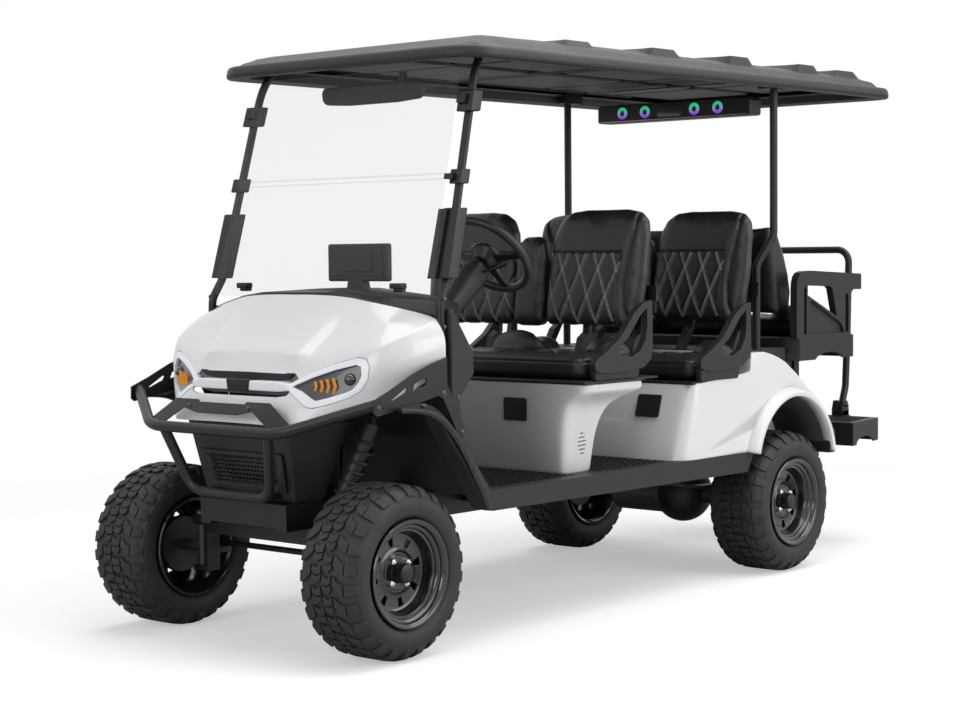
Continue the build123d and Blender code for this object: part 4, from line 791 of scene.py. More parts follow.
for n, v in enumerate(sorted(deck.verts, key=lambda v: (round(v.co.y, 4), round(v.co.x, 4)))):
    y, x = along_steps[n // len(columns)], columns[n % len(columns)]
    height = roof_height(x, y)
    dx, dy = abs(x) - 502, max(452 - y, y - 3110)
    if dx > 0 and dy > 0 and math.hypot(dx, dy) > 88:
        pull = 88 / math.hypot(dx, dy)
        x, y = math.copysign(502 + dx * pull, x), (452 - dy * pull if y < 1000 else 3110 + dy * pull)
    v.co = mm(x, y, height)
deck = piece("roof_deck", deck, roof_black, turn_out=False, angle=22)
thick(deck, 0.008)
rounded(deck, 0.002, 1, 24)
under = bmesh.new()
for y0, y1 in ((470, 1010), (1040, 1560), (1590, 2100), (2130, 2620), (2650, 3090)):
    for x0, x1 in ((-470, -40), (40, 470)):
        slab("plan", [(x0, y0), (x1, y0), (x1, y1), (x0, y1)], 2050, 2072, under)
liner = piece("roof_underside_panels", under, roof_black)
rounded(liner, 0.010, 2, 40)
print("roof: lip", len(roof_lip.data.polygons), "faces, deck", len(deck.data.polygons), "faces")

# %% [markdown]
# The windscreen is two clear acrylic panes with rounded outer corners, joined by a clear
# strip. Clear plastic this thin hardly bends light, so its finish lets light straight
# through and adds a mirror reflection that grows at a slant.

# %% Windscreen
screen_clear = bpy.data.materials.new("clear_acrylic")
screen_clear.use_nodes = True
tree = screen_clear.node_tree
tree.nodes.clear()
facing = shader(tree, "ShaderNodeLayerWeight", -800, 0, Blend=0.5)
steep = shader(tree, "ShaderNodeMath", -650, 0, set_operation="POWER", i0=facing.outputs["Facing"], i1=4.0)
slant = shader(tree, "ShaderNodeMath", -500, 0, set_operation="MULTIPLY_ADD", i0=steep.outputs[0], i1=0.5, i2=0.03)
through = shader(tree, "ShaderNodeBsdfTransparent", -300, 100, Color=(0.955, 0.96, 0.96, 1))
gloss = shader(tree, "ShaderNodeBsdfPrincipled", -300, -100, Base_Color=(0.6, 0.62, 0.62, 1), Roughness=0.03)
blend = shader(tree, "ShaderNodeMixShader", 0, 0, i0=slant.outputs[0], i1=through.outputs[0], i2=gloss.outputs[0])
shader(tree, "ShaderNodeOutputMaterial", 200, 0, Surface=blend.outputs[0])
glass_lean, glass_low = 0.262, 1190.0


def on_glass(x, z, lift=0.0):
    """A place on the leaning screen, lifted forward off it."""
    return mm(x, 231 + glass_lean * (z - glass_low) - lift, z + lift * glass_lean)


def pane(name, corners, coat, width=5.0, lift=0.0, **links):
    """A flat plate on the leaning screen from (x, z, corner radius) points."""
    outline = []
    for n, (x, z, r) in enumerate(corners):
        if not r:
            outline.append((x, z))
            continue
        (ax, az, _), (bx, bz, _) = corners[n - 1], corners[(n + 1) % len(corners)]
        start = Vector((ax - x, az - z)).normalized() * r
        end = Vector((bx - x, bz - z)).normalized() * r
        for k in range(9):
            t = k / 8
            outline.append(tuple(Vector((x, z)) + start * (1 - t) ** 2 + end * t ** 2))
    shape = bmesh.new()
    front = [shape.verts.new(on_glass(x, z, lift)) for x, z in outline]
    extruded(shape, front, on_glass(0, 1500, lift) - on_glass(0, 1500, lift + width))
    return piece(name, shape, coat, angle=12, **links)


pane("screen_lower_pane", [(545, 1190, 34), (519, 1591, 6), (-519, 1591, 6), (-545, 1190, 34)], screen_clear,
     stands_for=["windshield_lower"])
pane("screen_upper_pane", [(519, 1605, 6), (504, 1985, 62), (-504, 1985, 62), (-519, 1605, 6)], screen_clear,
     stands_for=["windshield_upper"])
strip = pane("screen_joint_strip", [(521, 1587, 3), (520, 1609, 3), (-520, 1609, 3), (-521, 1587, 3)], screen_clear,
             3, 3)
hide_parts("windshield_bar")
fittings = bmesh.new()
for x in (-385, 385):
    slab("front", [(x - 26, 1216), (x + 26, 1216), (x + 26, 1236), (x - 26, 1236)], 222, 258, fittings)
    slab("front", [(x - 18, 1205), (x + 18, 1205), (x + 18, 1222), (x - 18, 1222)], 232, 262, fittings)
rounded(piece("screen_bottom_clips", fittings, smooth_black), 0.004, 2, 40)


def strut_place(z):
    """The front strut's middle at a height: (x, y behind the axle)."""
    return along([(1250, 562), (1865, 536), (1996, 528)], z), along([(1250, 292), (1865, 454), (1996, 492)], z)


sleeves = bmesh.new()
for side in (1, -1):
    for low, high, half_w, half_d in ((1820, 1893, 34, 29), (1572, 1622, 26, 26), (1252, 1490, 33, 29)):
        (x0, y0), (x1, y1) = strut_place(low), strut_place(high)
        corners = [(x0 - half_w, y0 - half_d), (x0 + half_w, y0 - half_d), (x0 + half_w, y0 + half_d * 0.8),
                   (x0 - half_w, y0 + half_d * 0.8)]
        foot = [sleeves.verts.new(mm(side * x, y, low)) for x, y in corners]
        extruded(sleeves, foot, mm(side * (x1 - x0), y1 - y0, high - low) - mm(0, 0, 0))
rounded(piece("strut_sleeves", sleeves, smooth_black), 0.004, 2, 40)
print("windscreen panes, clips and sleeves made")

# %% [markdown]
# The front seat pod. Level after level the same plan outline is moved in or out, so the
# side is hollow below and flares out into the rolled rim under the seat, and the rear
# edge sweeps back at the top. Subdivision makes one moulded skin of it.

# %% Front seat pod
pod_levels = [
    # height, half width, corner radius, rear edge behind the front axle
    (517, 490, 40, 1178), (522, 494, 44, 1181), (560, 497, 48, 1186), (640, 500, 50, 1200), (700, 504, 52, 1222),
    (748, 512, 54, 1252), (782, 532, 56, 1290), (802, 566, 58, 1335), (814, 590, 60, 1362), (826, 600, 60, 1370),
    (842, 600, 60, 1370), (852, 598, 60, 1369), (854, 590, 56, 1363)]
rows = []
for z, half, r, rear in pod_levels:
    front = 1002 + (6 if z in (517, 854) else 0)
    scoop = 14 * max(0, 1 - abs(z - 650) / 130)
    rows.append([(0, front, z), (half * 0.45, front, z), (half - 1.5 * r, front, z), (half - 0.5 * r, front + 2, z),
                 (half - 0.1 * r, front + 0.35 * r, z), (half, front + 1.2 * r, z),
                 (half - scoop, front + 1.75 * r, z),
                 (half - scoop * 1.2, (front + rear) / 2 + 25, z), (half - 2, rear - 12, z), (half - 10, rear, z),
                 (half - 60, rear + 1, z), (0, rear + 1, z)])
pod = piece("front_pod_shell", bent_grid(rows,
                                         [([(1, c) for c in range(12)], 0.2), ([(9, c) for c in range(12)], 0.3)]),
            pearl_white, stands_for=["front_seat_pod"])
subdivided(pod, 3)
thick(pod, 0.005)
rim = piece("front_pod_black_lip", slab("plan",
                                        [(-606, 1010), (-596, 998), (596, 998), (606, 1010), (606, 1366), (596, 1376),
                                         (-596, 1376), (-606, 1366)], 850, 864), moulded_black)
rounded(rim, 0.005, 3, 40)


def rounded_square(cx, cz, wide, tall, r=9, count=5):
    """A front-view outline with round corners."""
    out = []
    for sx, sz, first in ((1, 1, 0), (-1, 1, 90), (-1, -1, 180), (1, -1, 270)):
        for n in range(count + 1):
            angle = math.radians(first + 90 * n / count)
            out.append((cx + sx * (wide / 2 - r) + r * math.cos(angle),
                        cz + sz * (tall / 2 - r) + r * math.sin(angle)))
    return out


panels = bmesh.new()
for side in (1, -1):
    slab("front", rounded_square(side * 271, 750, 110, 86), 996, 1003, panels)
    slab("front", rounded_square(side * 409, 726, 112, 88), 1655, 1672, panels)
    lean = [v for v in panels.verts if v.co.y > front_axle + 1.6]
for v in lean:
    v.co.y += (v.co.z - 0.726) * 0.30
rounded(piece("pod_blank_panels", panels, moulded_black), 0.002, 2, 40)
slits = bmesh.new()
for side in (1, -1):
    for n, length in enumerate((20, 36, 48, 48, 36, 20)):
        z = 584 + n * 15
        slab("side", [(1122 - length / 2, z - length * 0.03), (1122 + length / 2, z + length * 0.03),
                      (1122 + length / 2, z + 4 + length * 0.03), (1122 - length / 2, z + 4 - length * 0.03)],
             side * 480, side * 506, slits)
backing = side_slabs([(1092, 572), (1152, 572), (1152, 678), (1092, 678)], 470, 478)
cut(pod, tool(slits))
piece("pod_vent_backing", backing, smooth_black)
print("front pod", len(pod.data.polygons), "faces")

# %% [markdown]
# The rear body carries the middle seat and the rear fenders. It is a side outline pulled
# across the cart, with a wide radius at its front corners and a small one elsewhere. Wheel
# wells are cut with drums, lined in black, and each opening gets a swept white lip.

# %% Rear body and fenders
arch = (2381.0, 440.0)                 # wheel opening's middle: behind the front axle, height
body_outline = [(1600, 517), (1690, 818), (1740, 818), (2045, 842), (2086, 847), (2092, 922), (2190, 921),
                (2250, 908), (2300, 893),
                (2350, 873), (2430, 825), (2500, 777), (2580, 722), (2639, 671), (2668, 628), (2682, 600),
                (2704, 487), (2666, 487), (2666, 517)]
shape = slab("side", body_outline, -610, 610)
front_corners = [e for e in shape.edges
                 if abs(abs(e.verts[0].co.x) - 0.61) < 1e-4 and e.verts[0].co.x * e.verts[1].co.x > 0
                 and all(v.co.y < front_axle + 1.695
                         for v in e.verts) and abs(e.verts[0].co.z - e.verts[1].co.z) > 0.1]
bmesh.ops.bevel(shape, geom=front_corners, offset=0.075, offset_type="OFFSET", segments=8, profile=0.5,
                affect="EDGES", material=-1)
body = piece("rear_body_shell", shape, pearl_white, stands_for=["rear_body"])
rounded(body, 0.014, 4, 24)
for side in (1, -1):
    drum = bmesh.new()
    bmesh.ops.create_cone(drum, cap_ends=True, segments=96, radius1=0.290, radius2=0.290, depth=0.300,
                          matrix=Matrix.Translation(mm(side * 525, *arch)) @ Matrix.Rotation(math.pi / 2, 4, "Y"))
    cut(body, tool(drum))
carve(body, "plan", [(-598, 1683), (598, 1683), (598, 2084), (-598, 2084)], 812, 1000)
carve(body, "plan", [(-520, 2112), (520, 2112), (520, 2760), (-520, 2760)], 850, 1000)
carve(body, "plan", [(-360, 1712), (360, 1712), (360, 2800), (-360, 2800)], 400, 800)
lip_shape = [(606, 326), (622, 324), (638, 318), (646, 310), (648, 306), (652, 303), (652, 297), (649, 292),
             (643, 290), (606, 290)]
lips, liners = bmesh.new(), bmesh.new()
for side in (1, -1):
    for target, outline, first, last in ((lips, lip_shape, 14, 172),
                                         (liners, [(372, 60), (372, 288), (606, 288)], 8, 174)):
        ring = [target.verts.new(mm(side * x, arch[0] - r * math.cos(math.radians(first)),
                                    arch[1] + r * math.sin(math.radians(first)))) for x, r in outline]
        line = [target.edges.new(pair) for pair in zip(ring, ring[1:])]
        bmesh.ops.spin(target, geom=ring + line, cent=mm(0, *arch), axis=(1, 0, 0), angle=-math.radians(last - first),
                       steps=64)
flare_lips = piece("fender_lips", lips, pearl_white, angle=40)
thick(flare_lips, 0.004, 0)
thick(piece("wheel_well_liners", liners, moulded_black, angle=40), 0.003, 0)
flaps = side_slabs([(2655, 470), (2700, 470), (2702, 560), (2672, 600), (2660, 600)], 470, 640)
rounded(piece("mud_flaps", flaps, moulded_black), 0.006, 2, 40)
print("rear body", len(body.data.polygons), "faces")

# %% [markdown]
# Seats. Each pad starts as a solid a little smaller than its cover, is remeshed into even
# squares, and is blown up by a cloth simulation with pressure, as foam fills a cover. Then
# seams and quilting are pressed into it along formulas, and threads are laid on top.

# %% Pads
vinyl_soft = finish("stitched_black_vinyl", (0.013, 0.0135, 0.014), 0.42, "pebble", 900, 0.22, 0.00035, vary=0.18,
                    rough_vary=0.05)


def puff(ob, cap):
    """Blows a closed mesh up with cloth pressure; no point moves farther than the cap."""
    start = [v.co.copy() for v in ob.data.vertices]
    cloth = ob.modifiers.new("cloth", "CLOTH")
    cloth.settings.use_pressure = True
    cloth.settings.uniform_pressure_force = 4
    cloth.settings.effector_weights.gravity = 0
    cloth.settings.quality = 5
    for step in range(1, 21):
        scene.frame_set(step)
    settle(ob)
    scene.frame_set(1)
    for v, was in zip(ob.data.vertices, start):
        moved = v.co - was
        if moved.length > cap:
            v.co = was + moved * (cap / moved.length)


def stuffed(ob, cap, voxel=0.010):
    """Remeshes a pad into even squares, blows it up and smooths it."""
    grid = ob.modifiers.new("squares", "REMESH")
    grid.mode, grid.voxel_size = "VOXEL", voxel
    settle(ob)
    puff(ob, cap)
    return subdivided(ob, 1)


def pad(name, shape, body, stands_for, cap=0.009, corner=0.030):
    """A stuffed pad from a base solid."""
    ob = piece(name, shape, vinyl_soft, body)
    if corner:
        rounded(ob, corner, 4, 40)
    stuffed(ob, cap)
    if stands_for:
        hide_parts(*stands_for)
    return ob


def press(ob, depth_at):
    """Moves each point along its normal by a formula of its place, in metres."""
    shape = bmesh.new()
    shape.from_mesh(ob.data)
    shape.normal_update()
    moves = [(v, v.normal * depth_at(v.co, v.normal)) for v in shape.verts]
    for v, move in moves:
        v.co += move
    shape.to_mesh(ob.data)
    shape.free()
    return smooth(ob, 180)


def refine(ob, wanted):
    """Halves the squares where a formula of the place and normal says so."""
    shape = bmesh.new()
    shape.from_mesh(ob.data)
    edges = {e for f in shape.faces if wanted(f.calc_center_median(), f.normal) for e in f.edges}
    bmesh.ops.subdivide_edges(shape, edges=list(edges), cuts=1, use_grid_fill=True)
    shape.to_mesh(ob.data)
    shape.free()


def groove(distance, width=0.005, depth=0.004):
    """How deep a seam is at a distance from its line."""
    return -depth * math.exp(-(distance / width) ** 2)


print("pad helpers ready")

# %% [markdown]
# A back pad's front is pressed by a formula of the place: a groove along each stitch line,
# a soft crown in each diamond, and a raised bolster between two seams at its outer edge.

# %% Quilting and seams

# quilting of a side pad: crossings of the stitch lines, in metres
quilt_low, quilt_high, quilt_in = 1.045, 1.335, 0.082
cross_x, cross_z, diamond_w, diamond_h = 0.165, 1.270, 0.088, 0.204
slope_length = 1 / math.hypot(1 / diamond_w, 1 / diamond_h)
bolster_seam = [(1.05, 0.436), (1.20, 0.440), (1.30, 0.447), (1.38, 0.460), (1.46, 0.500)]
outer_seam = [(1.05, 0.505), (1.12, 0.476), (1.20, 0.468), (1.30, 0.480), (1.42, 0.502), (1.50, 0.500)]


def quilt_line(x, z):
    """The distance to the nearest stitch line."""
    a, b = (x - cross_x) / diamond_w, (z - cross_z) / diamond_h
    return min(abs(s - round(s)) for s in (a + b, a - b)) * slope_length


def side_pad_face(co, normal):
    """How a side pad's front is pressed: quilting, seams and a raised outer bolster."""
    if normal.y > 0.25:
        return 0.0
    x, z = abs(co.x), co.z
    facing = min(1, max(0, (0.25 - normal.y) / 0.6))
    inner, outer = along(bolster_seam, z), along(outer_seam, z)
    depth = 0.0
    if x < inner and z < quilt_high:
        d = quilt_line(x, z)
        depth += groove(d, 0.0045, 0.0035) + 0.0035 * min(1, d / 0.018)
    if x < inner:
        depth += groove(abs(z - quilt_high), 0.004, 0.0045)
    depth += groove(abs(x - inner), 0.005, 0.005) + groove(abs(x - outer), 0.004, 0.0035)
    if inner < x < outer:
        depth += 0.013 * math.sin(math.pi * (x - inner) / (outer - inner + 1e-6)) ** 0.7
    elif x >= outer:
        depth += 0.004 * min(1, (x - outer) / 0.02)
    return depth * facing


def thread(ob, name, body, lines, forward=(0, 1, 0)):
    """Dashes of pale thread laid on a pad along double lines of (start, end)."""
    shape = bmesh.new()
    ahead = Vector(forward)
    for start, end in lines:
        run = end - start
        if run.length < 0.012:
            continue
        step, way = 0.0092, run.normalized()
        beside = way.cross(ahead).normalized()
        for n in range(int(run.length / step)):
            for off in (-0.0034, 0.0034):
                at = start + way * (step * (n + 0.5)) + beside * off
                hit, where, normal, _ = ob.ray_cast(at - ahead * 0.4, ahead, distance=0.8)
                if not hit:
                    continue
                along_it = (way - normal * way.dot(normal)).normalized()
                turn = Matrix((along_it, normal.cross(along_it), normal)).transposed().to_4x4()
                dash_size = Matrix.Diagonal((0.0066, 0.0024, 0.0018, 1))
                spot = Matrix.Translation(where + normal * 0.0004) @ turn @ dash_size
                bmesh.ops.create_cube(shape, size=1, matrix=spot)
    return piece(name, shape, thread_grey, body, angle=60)


print("stitch lines", round(slope_length * 1000), "mm apart")

# %% [markdown]
# The back pads are drawn upright, leaned by a shear above their foot, stuffed and then
# quilted. A lower plain pad stands between the two backs of each row.

# %% Seat backs


def leaned(slope, foot=1.028):
    """A shear that leans a back pad rearward above its foot."""
    return Matrix(((1, 0, 0, 0), (0, 1, slope, -slope * foot), (0, 0, 1, 0), (0, 0, 0, 1)))


def side_pad(name, side, y_front, stands_for):
    """One quilted seat back pad."""
    outline = [(0.082, 1.044), (0.074, 1.150), (0.078, 1.330), (0.094, 1.420), (0.122, 1.472), (0.168, 1.500),
               (0.240, 1.509),
               (0.440, 1.508), (0.508, 1.495), (0.542, 1.462), (0.555, 1.400), (0.557, 1.250), (0.550, 1.150),
               (0.530, 1.064), (0.490, 1.040)]
    shape = slab("front", [(side * x * 1000, z * 1000) for x, z in outline], 10, 70)
    lean = leaned(0.143)
    bmesh.ops.transform(shape, matrix=Matrix.Translation((0, y_front - front_axle - 0.004, 0)) @ lean,
                        verts=shape.verts[:])
    ob = pad(name, shape, "chassis", stands_for)
    refine(ob, lambda co, normal: normal.y < -0.2 and abs(co.x) < along(outer_seam, co.z) + 0.015)
    press(ob, side_pad_face)
    lines = []
    for k in range(-2, 6):
        for slope in (1, -1):
            pts = []
            for n in range(0, 56):
                z = quilt_high - 0.004 - n * 0.005
                x = cross_x + diamond_w * (k + slope * (z - cross_z) / diamond_h)
                if quilt_in < x < along(bolster_seam, z) - 0.006 and z > quilt_low:
                    pts.append(Vector((side * x, 0, z)))
            if len(pts) > 2:
                lines.append(tuple(Vector((p.x, y_front, p.z)) for p in (pts[0], pts[-1])))
    thread(ob, f"{name}_thread", "chassis", lines)
    return ob


def middle_pad(name, y_front):
    """The narrow, lower pad between two backs, with two slanted seams."""
    outline = [(-76, 1042), (-82, 1150), (-80, 1300), (-64, 1376), (-34, 1400), (34, 1400), (64, 1376), (80, 1300),
               (82, 1150), (76, 1042)]
    shape = slab("front", outline, 0, 74)
    lean = leaned(0.086)
    bmesh.ops.transform(shape, matrix=Matrix.Translation((0, y_front - front_axle, 0)) @ lean, verts=shape.verts[:])
    ob = pad(name, shape, "chassis", [], cap=0.007)
    return press(ob, lambda co, normal: groove(abs(abs(co.x) - 0.044 - 0.02 * (1.38 - co.z)), 0.005, 0.0035)
                 if normal.y < 0.2 else 0.0)


for row, y_front in (("front", -0.168), ("middle", 0.547)):
    for way, side in (("left", 1), ("right", -1)):
        side_pad(f"{row}_back_{way}", side, y_front, [f"{row}_backrests"] if side > 0 else [])
    middle_pad(f"{row}_back_middle", y_front)

# %% [markdown]
# A seat cushion is one thick roll with raised corners at its back. The raised corners are
# squashed balls that the remesh joins to the roll, so that no line shows between them.

# %% Seat cushions


def bench(name, body, stands_for, half, y_low, y_high, z_low, z_high, humps):
    """A wide cushion: a thick roll over a flatter front band, with raised rear corners."""
    s = 1000
    y0, y1 = (y_low - front_axle) * s + 9, (y_high - front_axle) * s - 9
    h = half * s - 9
    plan = [(-h, y0 + 40), (-h + 12, y0 + 12), (-h + 45, y0), (h - 45, y0), (h - 12, y0 + 12), (h, y0 + 40), (h, y1),
            (-h, y1)]
    shape = slab("plan", plan, z_low * s + 3, z_high * s - 10)
    ob = piece(name, shape, vinyl_soft, body)
    rounded(ob, 0.026, 5, 40)
    extra = []
    for cx, cy, rx, ry, rz in humps:
        ball = bmesh.new()
        bmesh.ops.create_uvsphere(ball, u_segments=32, v_segments=16, radius=1)
        bmesh.ops.transform(ball,
                            matrix=Matrix.Translation((cx, cy, z_high - 0.012)) @ Matrix.Diagonal((rx, ry, rz, 1)),
                            verts=ball.verts[:])
        extra.append(piece("hump", ball, vinyl_soft, None))
    merge(ob, *extra)
    stuffed(ob, 0.008)
    seam_z = z_low + (z_high - z_low) * 0.70

    def face(co, normal):
        edge = min(half - abs(co.x), co.y - y_low)
        depth = 0.0
        if edge < 0.03 and co.z < z_high - 0.004:
            depth += groove(abs(co.z - seam_z), 0.004, 0.004) + (0.003 if co.z > seam_z else 0.0)
        if normal.z > 0.5 and not any(((co.x - cx) / rx) ** 2 + ((co.y - cy) / ry) ** 2 < 1.1 for cx, cy, rx, ry,
                                      rz in humps):
            if 0.10 < abs(co.x) < half - 0.09 and co.y > y_low + 0.08:
                a, b = co.x / 0.10, co.y / 0.12
                d = min(abs(t - round(t)) for t in (a + b, a - b)) * 0.077
                depth += groove(d, 0.0055, 0.003) + 0.003 * min(1, d / 0.02)
        return depth

    press(ob, face)
    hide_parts(*stands_for)
    return ob


def humps(y):
    """The raised corners and the raised middle at the back of a wide cushion."""
    return [(side * 0.455, y - 0.055, 0.085, 0.085, 0.060)
            for side in (1, -1)] + [(0.0, y - 0.042, 0.130, 0.050, 0.086)]


bench("front_seat_cushion", "front_seat", ["front_cushion"], 0.575, -0.540, -0.160, 0.8633, 0.9593, humps(-0.160))
bench("middle_seat_cushion", "middle_seat", ["middle_cushion"], 0.575, 0.175, 0.555, 0.8223, 0.9183, humps(0.555))
bench("rear_seat_cushion", "rear_seat", ["rear_cushion"], 0.505, 1.072, 1.425, 0.9633, 1.051,
      [(side * 0.41, 1.125, 0.080, 0.050, 0.060) for side in (1, -1)])
back = slab("side", [((y - front_axle) * 1000, z * 1000) for y,
                     z in ((1.052, 1.062), (1.066, 1.150), (1.052, 1.230), (1.020, 1.310), (0.948, 1.436),
                           (0.880, 1.432), (0.950, 1.058))], -480, 480)
pad("rear_seat_back", back, "chassis", ["rear_backrest"], cap=0.009, corner=0.026)

# %% [markdown]
# The moulded restraints at the seat ends are side outlines with a window cut through each,
# rounded over all their edges.

# %% Restraints


def moved(points, along_by, up_by):
    """An outline shifted along the cart and up."""
    return [(y + along_by, z + up_by) for y, z in points]


restraint_outline = [(1389, 1152), (1335, 1143), (1277, 1108), (1225, 1054), (1180, 1012), (1102, 968), (1044, 942),
                     (1031, 926),
                     (1034, 906), (1056, 894), (1110, 888), (1255, 888), (1335, 902), (1379, 930), (1391, 960)]
restraint_window = [(1354, 1122), (1312, 1096), (1272, 1054), (1234, 1014), (1192, 988), (1182, 972), (1198, 953),
                    (1262, 944),
                    (1314, 964), (1346, 1008), (1356, 1060)]
for row, along_by, up_by, deck in (("front", 0, 0, 864), ("middle", 678, -26, 824)):
    for way, side in (("left", 1), ("right", -1)):
        arm = piece(f"{row}_restraint_{way}", slab("side", moved(restraint_outline, along_by, up_by), side * 596,
                                                   side * 625), moulded_black,
                    stands_for=["hip_restraints"] if (row, side) == ("front", 1) else [])
        carve(arm, "side", moved(restraint_window, along_by, up_by), side * 560, side * 660)
        rounded(arm, 0.007, 4, 24)
        foot = [(1044 + along_by, 900 + up_by), (1049 + along_by, deck), (1310 + along_by, deck),
                (1322 + along_by, 896 + up_by)]
        rounded(piece(f"{row}_restraint_foot_{way}", slab("side", foot, side * 590, side * 616), moulded_black),
                0.006, 3)


print("4 restraints made")

# %% [markdown]
# The rear platform carries the rear-facing seat between two arm frames. Below it hangs the
# footplate, a hollow tray with raised ribs, and the feet of the grab hoop are bolted on.

# %% Arms, platform and footplate

arm_outline = [(2518, 958), (2518, 1168), (2521, 1198), (2531, 1222), (2550, 1238), (2580, 1245), (2640, 1246),
               (3048, 1228), (3054, 1222), (3054, 1164),
               (3048, 1159), (2990, 1161), (2972, 1150), (2964, 1128), (2964, 958)]
arm_window = [(2606, 1184), (2790, 1177), (2808, 1166), (2816, 1140), (2846, 1046), (2626, 1134), (2606, 1142)]
arm_panel = [(2622, 1116), (2642, 1118), (2880, 1016), (2900, 990), (2904, 974), (2622, 974)]
for way, side in (("left", 1), ("right", -1)):
    frame_arm = piece(f"rear_arm_{way}", slab("side", arm_outline, side * 529, side * 561), moulded_black)
    carve(frame_arm, "side", arm_window, side * 500, side * 600)
    carve(frame_arm, "side", arm_panel, side * 549, side * 600)
    for low, high, top in ((2576, 2596, 1180), (2918, 2944, 1146)):
        groove_outline = [(low, 976), (high, 976), (high, top - 12), ((low + high) / 2, top), (low, top - 12)]
        carve(frame_arm, "side", groove_outline, side * 545, side * 600)
    rounded(frame_arm, 0.0045, 3, 24)
platform = piece("rear_step_platform", slab("plan",
                                            [(-430, 2490), (430, 2490), (560, 2546), (560, 2989), (-560, 2989),
                                             (-560, 2546)], 864, 963),
                 moulded_black, stands_for=["rear_platform"])
carve(platform, "plan", [(-426, 2500), (426, 2500), (549, 2554), (549, 2978), (-549, 2978), (-549, 2554)], 850, 951)
carve(platform, "front", [(-496, 850), (-474, 904), (474, 904), (496, 850)], 2480, 2530)
carve(platform, "side", [(2653, 850), (2690, 876), (2740, 890), (2800, 893), (2852, 888), (2893, 874), (2902, 850)],
      -600, 600)
rounded(platform, 0.004, 3, 24)
posts = side_slabs([(2518, 955), (2606, 955), (2606, 1056), (2518, 1049)], 282, 318)
side_slabs([(2560, 836), (2598, 836), (2598, 962), (2560, 962)], 450, 486, posts)
rounded(piece("rear_seat_posts", posts, moulded_black), 0.004, 2, 40)
step_plate = piece("footplate_shell", slab("plan", [(-530, 3040), (530, 3040), (472, 3366), (-472, 3366)], 461, 565),
                   moulded_black, stands_for=["footplate"])
carve(step_plate, "plan", [(-519, 3050), (519, 3050), (463, 3356), (-463, 3356)], 440, 555)
carve(step_plate, "side", [(3082, 440), (3092, 474), (3130, 490), (3200, 495), (3266, 488), (3304, 468), (3312, 440)],
      -600, 600)
rounded(step_plate, 0.008, 4, 24)
ribs = bmesh.new()
for n in range(9):
    y = 3072 + n * 31
    reach = 500 - (y - 3040) * 0.178
    slab("plan", [(-reach, y), (reach, y), (reach, y + 7), (-reach, y + 7)], 562, 567.5, ribs)
rounded(piece("footplate_ribs", ribs, moulded_black), 0.0015, 2, 40)
cheek = [(3290, 562), (3352, 562), (3352, 600), (3340, 638), (3302, 638), (3290, 600)]
shoes = side_slabs(cheek, 320, 328, side_slabs(cheek, 272, 280))
for side in (1, -1):
    slab("plan", [(side * 266, 3284), (side * 334, 3284), (side * 334, 3356), (side * 266, 3356)], 563, 570, shoes)
rounded(piece("hoop_shoes", shoes, powder_black), 0.002, 2, 40)
bolts("hoop_bolts", mirrored_sides([(328, 3321, 618)]), (1, 0, 0), 8, 14)
print("rear step made")

# %% [markdown]
# The brush guard is bent tube with two cut plates, and a folded black brow stands on it in
# front of the bumper.

# %% Guard and brow
tubes = bmesh.new()
pipe(tubes, [(607, -80, 854), (318, -273, 752), (-318, -273, 752), (-607, -80, 854)], 19, 60, 24)
pipe(tubes, [(262, -263, 752), (192, -190, 523), (-192, -190, 523), (-262, -263, 752)], 18, 60, 24)
for side in (1, -1):
    pipe(tubes, [(side * 150, -190, 523), (side * 150, -100, 523)], 10)
piece("guard_tubes", tubes, powder_black, stands_for=["brush_guard"], angle=60)
wing_outline = [(-119, 866), (-40, 896), (60, 940), (160, 972), (236, 990), (236, 900), (270, 838), (332, 736),
                (330, 720), (306, 712), (290, 722),
                (214, 852), (190, 862), (162, 856), (60, 838), (-106, 812), (-120, 822)]
for way, side in (("left", 1), ("right", -1)):
    wing = piece(f"guard_wing_{way}", slab("side", wing_outline, side * 604, side * 610), powder_black)
    for slot in ([(-34, 858), (30, 882), (38, 896), (30, 898), (-36, 862)],
                 [(64, 886), (128, 900), (136, 914), (126, 926), (74, 908)]):
        carve(wing, "side", slot, side * 580, side * 640)
    rounded(wing, 0.001, 2, 40)
bolts("guard_bolts", mirrored_sides([(610, 219, 869), (610, 310, 731), (610, -96, 842)]), (1, 0, 0), 9, 6)
fold = bmesh.new()
brow_places = {"a": (-170, -250, 820), "b": (-100, -253, 806), "c": (100, -253, 806), "d": (170, -250, 820),
               "e": (235, -224, 848), "f": (120, -224, 848),
               "g": (-120, -224, 848), "h": (-235, -224, 848), "i": (262, -262, 764), "j": (350, -240, 776),
               "k": (-262, -262, 764), "l": (-350, -240, 776),
               "m": (112, -226, 840), "n": (-112, -226, 840)}
at = {key: fold.verts.new(mm(*place)) for key, place in brow_places.items()}
for loop in ("abcdefmngh", "dije", "ahlk"):
    fold.faces.new([at[key] for key in loop])
brow = piece("guard_brow", fold, powder_black, angle=20)
thick(brow, 0.004)
rounded(brow, 0.001, 2, 20)
bolts("brow_screws", [(-148, -245, 829), (148, -245, 829)], (0, -1, 0.5), 5, 4)
print("guard and brow made")

# %% [markdown]
# Below the guard the grey fascia leans forward. It is drawn upright and leaned by a
# formula, and a hexagon mesh sits in its opening over a black sheet of painted shade.

# %% Fascia and mesh


def fascia_y(z):
    """How far the fascia's front stands behind the axle's middle at a height."""
    return -100 - 58 * (z - 497) / 271


def leaning(shape, thickness_from=0.0):
    """Leans pieces that were drawn upright at the fascia's foot."""
    for v in shape.verts:
        v.co.y += (fascia_y(v.co.z * 1000) - thickness_from) / 1000
    return shape


